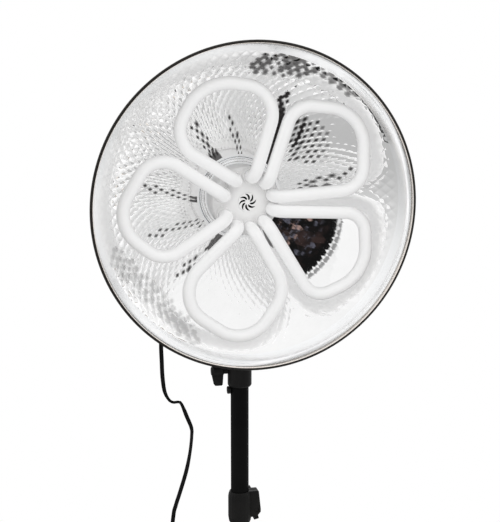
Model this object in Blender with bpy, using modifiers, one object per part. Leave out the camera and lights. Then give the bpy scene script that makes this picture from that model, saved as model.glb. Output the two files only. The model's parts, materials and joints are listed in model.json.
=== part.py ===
"""Daylight studio lamp: five fluorescent petals in a hammered reflector, on a tilt bracket and light stand.

Metres, +Z up. The lamp faces -Y. The floor is z = 0 and the origin is the middle of the footprint on it.
The stand's frame has its tube axis at the origin, the head's has the rim's centre there with +Y into the lamp.
"""
import math

import bmesh
import bpy
from mathutils import Matrix, Vector

# Fits
RUNNING_GAP = 0.0003
LOOSE_GAP = 0.0004

# Reflector
RIM_RADIUS = 0.2100
RIM_BEAD = 0.0022
LIP_DEPTH = 0.0130
BOWL_DEPTH = 0.1100
BOWL_FULLNESS = 0.85
NECK_RADIUS = 0.0525
NECK_LENGTH = 0.0080
SHEET = 0.0012
SMOOTH_BAND = 0.0150
FACETS_ROUND = 36
FACET_ROWS = 9

# Lamp
TUBE_RADIUS = 0.0085
PETAL_DEPTH = 0.0360
ROOT_CIRCLE = 0.0340
ROOT_BEND = 0.0140
CROWN_BEND = 0.0700
HUB_RADIUS = 0.0445
HUB_FACE = 0.0660
HUB_BACK = 0.0795
COLLAR_WALL = 0.0018
COLLAR_HEIGHT = 0.0050
SOCKET_DEPTH = 0.0080
BOSS_RADIUS = 0.0245
BOSS_FACE = 0.0560
VENT_RADIUS = 0.0125
VENT_THICK = 0.0016
VENT_SLOTS = 8
SLOT_INNER = 0.0033
SLOT_OUTER = 0.0103
SLOT_WIDTH = 0.0028
BALLAST_RADIUS = 0.0430
BALLAST_SHOULDER = 0.1650
BALLAST_BACK = 0.2020
BALLAST_WALL = 0.0020
SCREW_CAP_RADIUS = 0.0132
SCREW_CAP_LENGTH = 0.0290
THREAD_PITCH = 0.0042
THREAD_TURNS = 5
THREAD_DEPTH = 0.0008

# The glass is bent by hand, so each petal has its own corners: degrees round the hub, metres from its centre.
# Order: angle of the first root, first corner, crown, second corner, angle of the second root, corner bend.
PETALS = (
    (82, (75, 0.150), (111, 0.173), (141, 0.132), 120, 0.038),
    (48, (66, 0.139), (38, 0.190), (6, 0.150), 14, 0.031),
    (-17, (-6, 0.152), (-32, 0.184), (-57, 0.153), -50, 0.028),
    (-84, (-67, 0.124), (-91, 0.190), (-132, 0.159), -116, 0.044),
    (-150, (-148, 0.134), (-174, 0.180), (150, 0.143), 162, 0.034),
)

# Rear housing
HOUSING_RADIUS = 0.0590
HOUSING_WALL = 0.0030
HOUSING_FRONT = 0.1122
HOUSING_LAND = 0.0108
HOUSING_TAPER = 0.0150
HOUSING_BACK = 0.2400
HOUSING_VENTS = 8
CAP_RADIUS = 0.0545
CAP_BACK = 0.2580
CAP_WALL = 0.0030
SOCKET_RADIUS = 0.0215
ROCKER_WIDTH = 0.0195
ROCKER_HEIGHT = 0.0132
ROCKER_PLAY = 0.0009
ROCKER_TIP = math.radians(8)
SWITCH_UP = 0.0268
SWITCH_RIM = 0.0028
RELIEF_DOWN = 0.0250
RELIEF_LENGTH = 0.0300
RELIEF_RIBS = 4

# Bracket
LAMP_OFFSET = 0.0115
STAND_BEHIND_RIM = 0.1600
AXIS_TO_RECEIVER = 0.2750
AXIS_TO_TILT = 0.2000
RECEIVER_RADIUS = 0.0168
RECEIVER_HEIGHT = 0.0520
CHEEK_THICK = 0.0140
SPIGOT_RADIUS = 0.0080
SPIGOT_LENGTH = 0.0350
SPIGOT_GROOVE = 0.0012
SPIGOT_PLUG = 0.0300
LUG_RADIUS = 0.0190
LUG_THICK = 0.0120
FRICTION_THICK = 0.0020
BOLT_RADIUS = 0.0035
LOCK_HEIGHT = 0.0225
UMBRELLA_HEIGHT = 0.0435
UMBRELLA_RADIUS = 0.0045
LOCK_SHANK = 0.0032
LOCK_NECK = 0.0062
LOCK_HUB = 0.0173
LOCK_SPAN = 0.0205
KNOB_RADIUS = 0.0078
KNOB_ROOM = 0.0006
TILT_HUB = 0.0190
TILT_SPAN = 0.0240
SET_SCREW_DROP = 0.0058
SET_SCREW_HEAD = 0.0055

# Column
TOP_TUBE_RADIUS = 0.0127
TUBE_WALL = 0.0012
TUBE_SIDES = 20
TOP_TUBE_SHOWN = 0.1547
CLAMP_HEIGHT = 0.0443
CLAMP_GRIP = 0.0110
CLAMP_WALL = 0.0024
CLAMP_LIP = 0.0021
CLAMP_FOOT_WALL = 0.0010
CLAMP_KNOB_DROP = 0.0287
CLAMP_KNOB_TURN = math.radians(76)
CLAMP_HUB = 0.0150
CLAMP_SPAN = 0.0252
CLAMP_EAR_REACH = 0.0096
CLAMP_EAR_FLARE = 0.0028
CLAMP_EAR_WIDTH = 0.0150
CLAMP_EAR_HEIGHT = 0.0385
CLAMP_SLIT = 0.0016
CLAMPS_APART = 0.0800
MIDDLE_TUBE_RAISED = 0.0700
TOP_TUBE_LENGTH = 0.5000
MIDDLE_TUBE_LENGTH = 0.5000
BASE_TUBE_FOOT = 0.0300
PLUG_LENGTH = 0.0150
PLUG_FLANGE = 0.0030

# Tripod
LEG_OPEN = math.radians(58)
LEG_LENGTH = 0.5200
LEG_RADIUS = 0.0080
LEG_WALL = 0.0015
LEG_TOP = 0.0050
BRACE_LENGTH = 0.1700
BRACE_WIDTH = 0.0120
BRACE_THICK = 0.0025
PIVOT_CIRCLE = 0.0320
PIN_RADIUS = 0.0025
RIVET_RADIUS = 0.0042
RIVET_HEAD = 0.0015
FOOT_RADIUS = 0.0125
FOOT_FLAT = 0.0015
FOOT_SLEEVE = 0.0320
FOOT_WALL = 0.0027
SLIDER_HEIGHT = 0.0400
SLIDER_WALL = 0.0054
EAR_THICK = 0.0040
EAR_HEIGHT = 0.0170
EAR_REACH = 0.0070
COLLAR_BAND = 0.0240
COLLAR_BODY_WALL = 0.0050
SLIDER_KNOB_AZIMUTH = -30
SLIDER_KNOB_HUB = 0.0140
SLIDER_KNOB_SPAN = 0.0155
SLIDER_KNOB_DROP = 0.0125
LEG_AZIMUTHS = (-90, 30, 150)

# Cord
CORD_WIDTH = 0.0062
CORD_THICK = 0.0028
CORD_ROUND = 0.0044
CORD_STEP = 0.0190
COIL_LAYER_TURNS = 3
COIL_MEAN_RADIUS = 0.0370
COIL_PITCH = 0.0068
COIL_LAYER_RISE = 0.0037
COIL_DIP = 0.0044
COIL_HEIGHT = 0.0029
COIL_CENTRE = (0.0100, 0.1750)
COIL_POINTS = 24
COIL_START = 120
COIL_TAIL = 0.0250
PLUG_SIZE = (0.0350, 0.0240, 0.0136)
PLUG_PIN_RADIUS = 0.0020
PLUG_PIN_LENGTH = 0.0190
PLUG_PIN_SPREAD = 0.0186
TIE_WALL = 0.0008
TIE_SLACK = 0.0011
TIE_WIDTH = 0.0080

# Points that the hanging cord passes, in the stand's frame, between the strain relief's tip and the coil.
CORD_ROUTE = (
    (-0.0160, 0.1560, 1.0800), (-0.0280, 0.1700, 1.0560), (-0.0480, 0.1660, 1.0150), (-0.0700, 0.1480, 0.9650),
    (-0.0870, 0.1220, 0.9200), (-0.0945, 0.1000, 0.8790), (-0.0956, 0.0900, 0.8509), (-0.0947, 0.0900, 0.8269),
    (-0.0916, 0.0900, 0.8046), (-0.0845, 0.0900, 0.7914), (-0.0775, 0.0905, 0.7882), (-0.0693, 0.0910, 0.7879),
    (-0.0640, 0.0910, 0.7775), (-0.0595, 0.0905, 0.7654), (-0.0529, 0.0900, 0.7482), (-0.0525, 0.0900, 0.7370),
    (-0.0545, 0.0900, 0.7165), (-0.0584, 0.0900, 0.6942), (-0.0630, 0.0900, 0.6755), (-0.0715, 0.0905, 0.6478),
    (-0.0772, 0.0915, 0.6293), (-0.0810, 0.0925, 0.6105), (-0.0870, 0.1000, 0.5300), (-0.0880, 0.1150, 0.4000),
    (-0.0860, 0.1280, 0.2600), (-0.0830, 0.1370, 0.1300), (-0.0790, 0.1430, 0.0600), (-0.0750, 0.1520, 0.0220),
    (-0.0690, 0.1680, 0.0070), (-0.0560, 0.1860, 0.0034), (-0.0400, 0.1998, 0.0029),
)

# Worked out from the sizes above
MIDDLE_TUBE_RADIUS = TOP_TUBE_RADIUS + RUNNING_GAP + TUBE_WALL
BASE_TUBE_RADIUS = MIDDLE_TUBE_RADIUS + RUNNING_GAP + TUBE_WALL
TILT_UP = AXIS_TO_RECEIVER - AXIS_TO_TILT
FOOT_CENTRE = FOOT_RADIUS - FOOT_FLAT
SLIDER_PIVOT = FOOT_CENTRE + LEG_LENGTH * math.cos(LEG_OPEN)
COLLAR_PIVOT = SLIDER_PIVOT - 2 * BRACE_LENGTH * math.cos(LEG_OPEN)
BASE_TUBE_BOTTOM = COLLAR_PIVOT - BASE_TUBE_FOOT
MIDDLE_TUBE_TOP = BASE_TUBE_BOTTOM + MIDDLE_TUBE_RAISED + MIDDLE_TUBE_LENGTH
UPPER_CLAMP_TOP = MIDDLE_TUBE_TOP + RUNNING_GAP + CLAMP_HEIGHT - CLAMP_GRIP
LOWER_CLAMP_TOP = UPPER_CLAMP_TOP - CLAMPS_APART
RECEIVER_BOTTOM = UPPER_CLAMP_TOP + TOP_TUBE_SHOWN
LAMP_HEIGHT = RECEIVER_BOTTOM + AXIS_TO_RECEIVER
FOOT_CIRCLE = PIVOT_CIRCLE + LEG_LENGTH * math.sin(LEG_OPEN)
STAND_Y = FOOT_CIRCLE / 4

# Turns of a local +Z, and of a drawn outline
INTO_LAMP = (-math.pi / 2, 0, 0)
ALONG_Y = (math.pi / 2, 0, 0)
TO_RIGHT = (0, math.pi / 2, 0)
TO_LEFT = (0, -math.pi / 2, 0)
DRAWN_FROM_SIDE = (math.pi / 2, 0, math.pi / 2)


for item in list(bpy.data.objects):
    bpy.data.objects.remove(item, do_unlink=True)
parts = bpy.data.collections.new("daylight_studio_lamp")
cutters = bpy.data.collections.new("cutters")
for collection in (parts, cutters):
    bpy.context.scene.collection.children.link(collection)


def material(name, color, roughness, metallic=0.0):
    made = bpy.data.materials.new(name)
    made.use_nodes = True
    shader = made.node_tree.nodes["Principled BSDF"]
    shader.inputs["Base Color"].default_value = (*color, 1)
    shader.inputs["Roughness"].default_value = roughness
    shader.inputs["Metallic"].default_value = metallic
    return made


ALUMINIUM = material("hammered_aluminium", (0.88, 0.88, 0.87), 0.18, 1.0)
BLACK_PLASTIC = material("black_plastic", (0.012, 0.012, 0.013), 0.42)
BLACK_PAINT = material("black_paint", (0.008, 0.008, 0.009), 0.32)
WHITE_PLASTIC = material("white_plastic", (0.86, 0.86, 0.85), 0.40)
GLASS_TUBE = material("phosphor_glass", (0.93, 0.93, 0.92), 0.22)
STEEL = material("bright_steel", (0.60, 0.60, 0.60), 0.28, 1.0)
CERAMIC = material("socket_ceramic", (0.80, 0.79, 0.76), 0.35)
RUBBER = material("black_rubber", (0.015, 0.015, 0.015), 0.75)
CORD_VINYL = material("cord_vinyl", (0.010, 0.010, 0.011), 0.45)


def frame(name, location, rotation=(0, 0, 0), parent=None):
    """An empty that carries pieces."""
    empty = bpy.data.objects.new(name, None)
    empty.location = location
    empty.rotation_euler = rotation
    empty.parent = parent
    parts.objects.link(empty)
    return empty


def place(item, parent, location, rotation, finish):
    item.parent = parent
    item.location = location
    item.rotation_euler = rotation
    if finish:
        item.data.materials.append(finish)
    parts.objects.link(item)
    return item


def mesh_object(name, shape, parent, finish, location=(0, 0, 0), rotation=(0, 0, 0), smooth=35):
    """A node from a bmesh, its faces turned outward."""
    bmesh.ops.recalc_face_normals(shape, faces=shape.faces)
    mesh = bpy.data.meshes.new(name)
    shape.to_mesh(mesh)
    shape.free()
    mesh.shade_smooth()
    mesh.set_sharp_from_angle(angle=math.radians(smooth))
    return place(bpy.data.objects.new(name, mesh), parent, location, rotation, finish)


def signed_area(points):
    following = points[1:] + points[:1]
    return sum(a[0] * b[1] - b[0] * a[1] for a, b in zip(points, following)) / 2


def turned(name, profile, parent, finish=None, segments=32, location=(0, 0, 0), rotation=(0, 0, 0)):
    """A turned piece from points of (radius, height). One that starts and ends on the axis is solid."""
    points = list(profile)
    if signed_area(points) > 0:
        points.reverse()
    shape = bmesh.new()
    verts = [shape.verts.new((radius, 0, height)) for radius, height in points]
    for a, b in zip(verts, verts[1:]):
        shape.edges.new((a, b))
    if points[0][0] > 0:
        shape.edges.new((verts[-1], verts[0]))
    mesh = bpy.data.meshes.new(name)
    shape.to_mesh(mesh)
    shape.free()
    item = place(bpy.data.objects.new(name, mesh), parent, location, rotation, finish)
    screw = item.modifiers.new("turn", "SCREW")
    screw.axis = "Z"
    screw.steps = screw.render_steps = segments
    screw.use_merge_vertices = True
    screw.merge_threshold = 0.00001
    screw.use_smooth_shade = True
    return item


def rods(name, radius, length, places, parent, finish=None, segments=24, location=(0, 0, 0),
         rotation=(0, 0, 0)):
    """Round bars along local Z, one at each place."""
    shape = bmesh.new()
    for spot in places:
        bmesh.ops.create_cone(shape, cap_ends=True, segments=segments, radius1=radius, radius2=radius,
                              depth=length, matrix=Matrix.Translation(spot))
    return mesh_object(name, shape, parent, finish, location, rotation)


def rod(name, radius, length, parent, finish=None, segments=24, location=(0, 0, 0), rotation=(0, 0, 0)):
    return rods(name, radius, length, [(0, 0, 0)], parent, finish, segments, location, rotation)


def block(name, size, parent, finish=None, location=(0, 0, 0), rotation=(0, 0, 0), bevel=0.0):
    shape = bmesh.new()
    bmesh.ops.create_cube(shape, size=1)
    bmesh.ops.scale(shape, vec=size, verts=shape.verts)
    item = mesh_object(name, shape, parent, finish, location, rotation)
    if bevel:
        soften(item, bevel)
    return item


def soften(item, width):
    bevel = item.modifiers.new("soften", "BEVEL")
    bevel.width = width
    bevel.segments = 1
    bevel.limit_method = "ANGLE"
    bevel.angle_limit = math.radians(50)


def from_curve(name, curve, parent, finish=None, location=(0, 0, 0), rotation=(0, 0, 0)):
    """A mesh node from a curve, its caps welded on."""
    drawing = bpy.data.objects.new(name + "_drawing", curve)
    parts.objects.link(drawing)
    mesh = bpy.data.meshes.new_from_object(drawing.evaluated_get(bpy.context.evaluated_depsgraph_get()))
    bpy.data.objects.remove(drawing, do_unlink=True)
    shape = bmesh.new()
    shape.from_mesh(mesh)
    bmesh.ops.remove_doubles(shape, verts=shape.verts, dist=0.00001)
    return mesh_object(name, shape, parent, finish, location, rotation)


def plate(name, outline, thickness, parent, finish=None, location=(0, 0, 0), rotation=(0, 0, 0)):
    """A flat piece: a closed 2D curve, extruded both ways and made a mesh."""
    curve = bpy.data.curves.new(name, "CURVE")
    curve.dimensions = "2D"
    curve.fill_mode = "BOTH"
    curve.extrude = thickness / 2
    spline = curve.splines.new("POLY")
    spline.points.add(len(outline) - 1)
    for point, (x, y) in zip(spline.points, outline):
        point.co = (x, y, 0, 1)
    spline.use_cyclic_u = True
    return from_curve(name, curve, parent, finish, location, rotation)


def combine(item, other, operation):
    parts.objects.unlink(other)
    cutters.objects.link(other)
    other.hide_render = True
    other.display_type = "WIRE"
    change = item.modifiers.new(other.name, "BOOLEAN")
    change.operation = operation
    change.solver = "EXACT"
    change.object = other
    return item


def cut(item, other):
    return combine(item, other, "DIFFERENCE")


def fuse(item, other):
    return combine(item, other, "UNION")


def arc(centre, radius, start, end, count):
    """Points of an arc in degrees, both ends included."""
    angles = [math.radians(start + (end - start) * k / (count - 1)) for k in range(count)]
    return [(centre[0] + radius * math.cos(a), centre[1] + radius * math.sin(a)) for a in angles]


def polar(degrees, radius, depth=0.0):
    """A point of the head's frame, seen from the front: degrees anticlockwise from the right."""
    angle = math.radians(degrees)
    return Vector((radius * math.cos(angle), depth, radius * math.sin(angle)))


def ring_loft(name, rings, segments, parent, finish, rotation):
    """A closed ring of rings: each is (radius, height, shift), with shift in parts of one segment."""
    shape = bmesh.new()
    loops = []
    for radius, height, shift in rings:
        turns = [2 * math.pi * (k + shift) / segments for k in range(segments)]
        loops.append([shape.verts.new((radius * math.cos(a), radius * math.sin(a), height)) for a in turns])
    for index, near in enumerate(loops):
        following = (index + 1) % len(loops)
        far = loops[following]
        step = rings[following][2] - rings[index][2]
        for k in range(segments):
            a, b = near[k], near[(k + 1) % segments]
            c, d = far[k], far[(k + 1) % segments]
            if step == 0:
                shape.faces.new((a, b, d, c))
            elif step > 0:
                shape.faces.new((a, b, c))
                shape.faces.new((b, d, c))
            else:
                shape.faces.new((a, b, d))
                shape.faces.new((a, d, c))
    return mesh_object(name, shape, parent, finish, rotation=rotation, smooth=5)


def rounded_path(corners, bends, points_per_turn=18):
    """Straight runs between the corners, each inner corner replaced by an arc of its bend's radius."""
    path = [corners[0]]
    for before, corner, after, bend in zip(corners, corners[1:], corners[2:], bends):
        to_before, to_after = (before - corner).normalized(), (after - corner).normalized()
        half = to_before.angle(to_after) / 2
        room = 0.49 * min((before - corner).length, (after - corner).length)
        reach = min(bend / math.tan(half), room)
        centre = corner + (to_before + to_after).normalized() * (reach / math.cos(half))
        first = corner + to_before * reach - centre
        last = corner + to_after * reach - centre
        sweep = first.angle(last)
        axis = first.cross(last).normalized()
        steps = max(2, round(points_per_turn * sweep / (2 * math.pi)))
        path += [centre + Matrix.Rotation(sweep * k / steps, 3, axis) @ first for k in range(steps + 1)]
    path.append(corners[-1])
    return path


def smooth_path(route, step):
    """Points every step along a Catmull-Rom curve through the route."""
    stops = [Vector(point) for point in route]
    stops = [2 * stops[0] - stops[1]] + stops + [2 * stops[-1] - stops[-2]]
    path = []
    for a, b, c, d in zip(stops, stops[1:], stops[2:], stops[3:]):
        count = max(1, round((c - b).length / step))
        for k in range(count):
            t = k / count
            path.append(0.5 * ((2 * b) + (c - a) * t + (2 * a - 5 * b + 4 * c - d) * t * t
                               + (3 * b - a - 3 * c + d) * t ** 3))
    path.append(stops[-2])
    return path


def tube_along(name, path, radius, sides, parent, finish, section=None):
    """A solid tube on a poly spline; section is a closed curve to use in place of the round one."""
    curve = bpy.data.curves.new(name, "CURVE")
    curve.dimensions = "3D"
    curve.use_fill_caps = True
    if section:
        curve.bevel_mode = "OBJECT"
        curve.bevel_object = section
        curve.twist_mode = "Z_UP"
    else:
        curve.bevel_depth = radius
        curve.bevel_resolution = sides
    spline = curve.splines.new("POLY")
    spline.points.add(len(path) - 1)
    for point, spot in zip(spline.points, path):
        point.co = (*spot, 1)
    if section:
        return from_curve(name, curve, parent, finish)
    return place(bpy.data.objects.new(name, curve), parent, (0, 0, 0), (0, 0, 0), finish)


def wing_knob(name, hub, span, parent, location, rotation, shank, neck=0.0):
    """A wing knob along local +Z. Its shank reaches to -shank, and its neck fills the last part of that."""
    seat = frame(name + "_axis", location, rotation, parent)
    knob = turned(name, [(0, 0), (KNOB_RADIUS * 0.7, 0), (KNOB_RADIUS, 0.0020), (KNOB_RADIUS, hub - 0.0025),
                         (KNOB_RADIUS * 0.7, hub), (0, hub)], seat, BLACK_PLASTIC, 12)
    low, high, break_edge = hub * 0.10, hub * 0.78, 0.0015
    right_half = [(0.0040, 0.0006), (span - break_edge, low), (span, low + break_edge),
                  (span, high - break_edge),
                  (span - break_edge, high), (0.0040, hub - 0.0006)]
    left_half = [(-x, y) for x, y in reversed(right_half)]
    fuse(knob, plate(name + "_blade", right_half + left_half, 0.0070, seat, rotation=ALONG_Y))
    buried = 0.0015
    fuse(knob, rod(name + "_shank", LOCK_SHANK, shank + buried, seat, None, 10, (0, 0, (buried - shank) / 2)))
    if neck:
        fuse(knob, rod(name + "_neck", 0.0046, neck + buried, seat, None, 10, (0, 0, (buried - neck) / 2)))
    return knob


# Stand
stand = frame("stand_origin", (0, STAND_Y, 0))
head = frame("head_origin", (-LAMP_OFFSET, -STAND_BEHIND_RIM, LAMP_HEIGHT), parent=stand)
bracket = frame("bracket_origin", (0, 0, RECEIVER_BOTTOM), parent=stand)


# Reflector: a parabola from lip to neck, hammered into staggered facets inside a plain band
def bowl_depth(radius):
    lip_radius = RIM_RADIUS - RIM_BEAD - SHEET / 2
    share = (lip_radius ** 2 - radius ** 2) / (lip_radius ** 2 - NECK_RADIUS ** 2)
    return LIP_DEPTH + (BOWL_DEPTH - LIP_DEPTH) * max(0.0, share) ** BOWL_FULLNESS


def make_reflector():
    bead_radius = RIM_RADIUS - RIM_BEAD
    lip_inner = bead_radius - SHEET / 2
    opening = math.degrees(math.asin(SHEET / 2 / RIM_BEAD))
    bead = [(r, d, 0) for d, r in arc((RIM_BEAD, bead_radius), RIM_BEAD, opening, 360 - opening, 6)]
    band_end = lip_inner - SMOOTH_BAND
    first, last = band_end, NECK_RADIUS + 0.004
    facets = []
    for row in range(FACET_ROWS):
        radius = first + (last - first) * row / (FACET_ROWS - 1)
        facets.append((radius, bowl_depth(radius), 0.5 * (row % 2)))
    inside = [(lip_inner, LIP_DEPTH, 0)] + facets + [(NECK_RADIUS, BOWL_DEPTH, 0),
                                                     (NECK_RADIUS, BOWL_DEPTH + NECK_LENGTH, 0)]
    outside = [(NECK_RADIUS + SHEET, BOWL_DEPTH + NECK_LENGTH, 0), (NECK_RADIUS + SHEET, BOWL_DEPTH + SHEET, 0)]
    for radius, depth, shift in reversed(facets):
        slope = (bowl_depth(radius) - bowl_depth(radius - 0.001)) / 0.001
        length = math.hypot(slope, 1)
        outside.append((radius - SHEET * slope / length, depth + SHEET / length, shift))
    outside.append((bead_radius + SHEET / 2, LIP_DEPTH + SHEET / 2, 0))
    # the bead's arc runs from its outer side to its inner one
    rings = bead + inside + outside
    ring_loft("reflector", rings, FACETS_ROUND, head, ALUMINIUM, INTO_LAMP)


make_reflector()

# Stepped ring in the bowl's neck
ring_outer = NECK_RADIUS - LOOSE_GAP
ring_front = BOWL_DEPTH - 0.0040
ring_back = BOWL_DEPTH + NECK_LENGTH + 0.0045
ring_inner = BALLAST_RADIUS + 0.0010
turned("neck_ring", [(ring_inner, ring_front + 0.0015), (ring_inner + 0.0010, ring_front),
                     (ring_inner + 0.0030, ring_front),
                     (ring_inner + 0.0035, ring_front + 0.0015), (ring_outer - 0.0018, ring_front + 0.0015),
                     (ring_outer - 0.0014, ring_front + 0.0030), (ring_outer, ring_front + 0.0030),
                     (ring_outer, ring_back), (ring_inner, ring_back)], head, ALUMINIUM, 28, rotation=INTO_LAMP)

# Rear housing, its cap and what they hold
mouth = NECK_RADIUS + SHEET + RUNNING_GAP
bore = HOUSING_RADIUS - HOUSING_WALL
cap_lip = CAP_RADIUS - 0.0030
housing = turned("rear_housing", [(mouth, HOUSING_FRONT), (HOUSING_RADIUS - 0.0025, HOUSING_FRONT),
                                  (HOUSING_RADIUS, HOUSING_FRONT + 0.0025),
                                  (HOUSING_RADIUS, HOUSING_BACK - HOUSING_TAPER),
                                  (CAP_RADIUS, HOUSING_BACK), (cap_lip, HOUSING_BACK),
                                  (cap_lip, HOUSING_BACK - 0.0040),
                                  (bore, HOUSING_BACK - HOUSING_TAPER - 0.0020),
                                  (bore, HOUSING_FRONT + HOUSING_LAND),
                                  (mouth, HOUSING_FRONT + HOUSING_LAND)], head, BLACK_PLASTIC, FACETS_ROUND,
                                  rotation=INTO_LAMP)
vents = bmesh.new()
for k in range(HOUSING_VENTS):
    turn = Matrix.Rotation(2 * math.pi * (k + 0.5) / HOUSING_VENTS, 4, "Z")
    slot = turn @ Matrix.Translation((HOUSING_RADIUS - HOUSING_WALL / 2, 0, HOUSING_BACK - 0.0350))
    bmesh.ops.create_cube(vents, size=1, matrix=slot @ Matrix.Diagonal((3 * HOUSING_WALL, 0.0035, 0.0220, 1)))
cut(housing, mesh_object("housing_vents", vents, head, None, rotation=INTO_LAMP))

cap = turned("rear_cap", [(0, CAP_BACK), (0.0400, CAP_BACK), (0.0500, CAP_BACK - 0.0040),
                          (CAP_RADIUS, CAP_BACK - 0.0120),
                          (CAP_RADIUS, HOUSING_BACK + RUNNING_GAP),
                          (cap_lip - RUNNING_GAP, HOUSING_BACK + RUNNING_GAP),
                          (cap_lip - RUNNING_GAP, HOUSING_BACK - 0.0035),
                          (cap_lip - CAP_WALL, HOUSING_BACK - 0.0035), (cap_lip - CAP_WALL, CAP_BACK - 0.0120),
                          (0.0390, CAP_BACK - CAP_WALL), (0, CAP_BACK - CAP_WALL)], head, BLACK_PLASTIC, 28,
             rotation=INTO_LAMP)
cap_slots = bmesh.new()
for side in (-1, 1):
    for row in range(4):
        spot = Matrix.Translation((side * 0.0270, CAP_BACK - CAP_WALL / 2, 0.0075 - 0.0065 * row))
        bmesh.ops.create_cube(cap_slots, size=1,
                              matrix=spot @ Matrix.Diagonal((0.0170, 3 * CAP_WALL, 0.0028, 1)))
cut(cap, mesh_object("cap_slots", cap_slots, head, None))
switch_hole = (ROCKER_WIDTH + 2 * LOOSE_GAP, 3 * CAP_WALL, ROCKER_HEIGHT + 2 * ROCKER_PLAY)
cut(cap, block("switch_hole", switch_hole, head, None, (0, CAP_BACK - CAP_WALL / 2, SWITCH_UP)))

rim_thick = 0.0016
rim_at = (0, CAP_BACK + RUNNING_GAP + rim_thick / 2, SWITCH_UP)
switch_rim = block("switch_frame", (switch_hole[0] + 2 * SWITCH_RIM, rim_thick,
                                    switch_hole[2] + 2 * SWITCH_RIM), head,
                   BLACK_PLASTIC, rim_at)
cut(switch_rim, block("frame_hole", (switch_hole[0], 3 * rim_thick, switch_hole[2]), head, None, rim_at))
rocker_pivot = (0, CAP_BACK - 0.0010, SWITCH_UP)
rocker_face = 0.0045
half_height = ROCKER_HEIGHT / 2
plate("rocker_switch", [(-0.0035, -half_height * 0.75), (rocker_face, -half_height), (rocker_face - 0.0017, 0),
                        (rocker_face, half_height), (-0.0035, half_height * 0.75)], ROCKER_WIDTH,
      frame("rocker_axis", rocker_pivot, (-ROCKER_TIP, 0, 0), head), BLACK_PLASTIC, rotation=DRAWN_FROM_SIDE)

relief_seat = CAP_BACK + RUNNING_GAP
relief = [(0, relief_seat), (0.0088, relief_seat), (0.0088, relief_seat + 0.0025)]
rib_pitch = (RELIEF_LENGTH - 0.0035) / RELIEF_RIBS
for rib in range(RELIEF_RIBS):
    near = relief_seat + 0.0025 + rib_pitch * rib
    rib_radius = 0.0070 - 0.0022 * rib / (RELIEF_RIBS - 1)
    relief += [(rib_radius - 0.0012, near), (rib_radius - 0.0012, near + rib_pitch * 0.4),
               (rib_radius, near + rib_pitch * 0.4), (rib_radius - 0.0002, near + rib_pitch)]
relief += [(0.0034, relief_seat + RELIEF_LENGTH), (0, relief_seat + RELIEF_LENGTH)]
turned("strain_relief", relief, head, RUBBER, 10, (0, 0, -RELIEF_DOWN), INTO_LAMP)

socket_floor = BALLAST_BACK + RUNNING_GAP + SCREW_CAP_LENGTH + RUNNING_GAP
socket_front = BALLAST_BACK + 0.0030
socket_bore = SCREW_CAP_RADIUS + RUNNING_GAP
socket_back = CAP_BACK - CAP_WALL - RUNNING_GAP
turned("lamp_socket", [(0, socket_floor), (socket_bore, socket_floor), (socket_bore, socket_front),
                       (SOCKET_RADIUS - 0.0030, socket_front), (SOCKET_RADIUS, socket_front + 0.0040),
                       (SOCKET_RADIUS, socket_back - 0.0040), (SOCKET_RADIUS - 0.0100, socket_back),
                       (0, socket_back)],
       head, CERAMIC, 20, rotation=INTO_LAMP)

# Lamp
cap_front = BALLAST_BACK + RUNNING_GAP
thread = []
for k in range(THREAD_TURNS):
    near = cap_front + 0.0020 + THREAD_PITCH * k
    thread += [(SCREW_CAP_RADIUS - THREAD_DEPTH, near), (SCREW_CAP_RADIUS, near + THREAD_PITCH / 2)]
cap_tip = cap_front + SCREW_CAP_LENGTH
turned("lamp_screw_cap", [(0, cap_front), (SCREW_CAP_RADIUS, cap_front)] + thread
       + [(SCREW_CAP_RADIUS - 0.0015, cap_tip - 0.0045), (0.0048, cap_tip - 0.0016), (0.0040, cap_tip),
          (0, cap_tip)],
       head, STEEL, 16, rotation=INTO_LAMP)

ballast_front = HUB_BACK + RUNNING_GAP
shell_inner = BALLAST_RADIUS - BALLAST_WALL
turned("ballast_housing", [(shell_inner, ballast_front), (BALLAST_RADIUS, ballast_front),
                           (BALLAST_RADIUS, BALLAST_SHOULDER),
                           (0.0250, BALLAST_BACK - 0.0070), (0.0150, BALLAST_BACK - 0.0040),
                           (0.0150, BALLAST_BACK),
                           (0.0125, BALLAST_BACK), (0.0125, BALLAST_BACK - 0.0060),
                           (0.0230, BALLAST_BACK - 0.0090),
                           (shell_inner, BALLAST_SHOULDER - 0.0010)], head, WHITE_PLASTIC, 24,
                           rotation=INTO_LAMP)

root_angles = sorted(angle for petal in PETALS for angle in (petal[0], petal[4]))
hub = turned("tube_hub", [(0, BOSS_FACE), (BOSS_RADIUS - 0.0030, BOSS_FACE + 0.0003),
                          (BOSS_RADIUS, BOSS_FACE + 0.0025),
                          (BOSS_RADIUS, HUB_FACE - 0.0005), (BOSS_RADIUS + 0.0025, HUB_FACE),
                          (HUB_RADIUS - 0.0025, HUB_FACE),
                          (HUB_RADIUS, HUB_FACE + 0.0025), (HUB_RADIUS, HUB_BACK), (0, HUB_BACK)], head,
                          WHITE_PLASTIC, 24,
             rotation=INTO_LAMP)
collar_back = HUB_FACE + 0.0040
collar_length = collar_back - (HUB_FACE - COLLAR_HEIGHT)
for name, angles in (("first_collars", root_angles[0::2]), ("second_collars", root_angles[1::2])):
    spots = [(p.x, p.z, 0) for p in (polar(a, ROOT_CIRCLE) for a in angles)]
    fuse(hub, rods(name, TUBE_RADIUS + RUNNING_GAP + COLLAR_WALL, collar_length, spots, head, None, 12,
                   (0, collar_back - collar_length / 2, 0), ALONG_Y))
bore_back = HUB_FACE + SOCKET_DEPTH
bore_length = SOCKET_DEPTH + COLLAR_HEIGHT + 0.0020
spots = [(p.x, p.z, 0) for p in (polar(a, ROOT_CIRCLE) for a in root_angles)]
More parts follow.
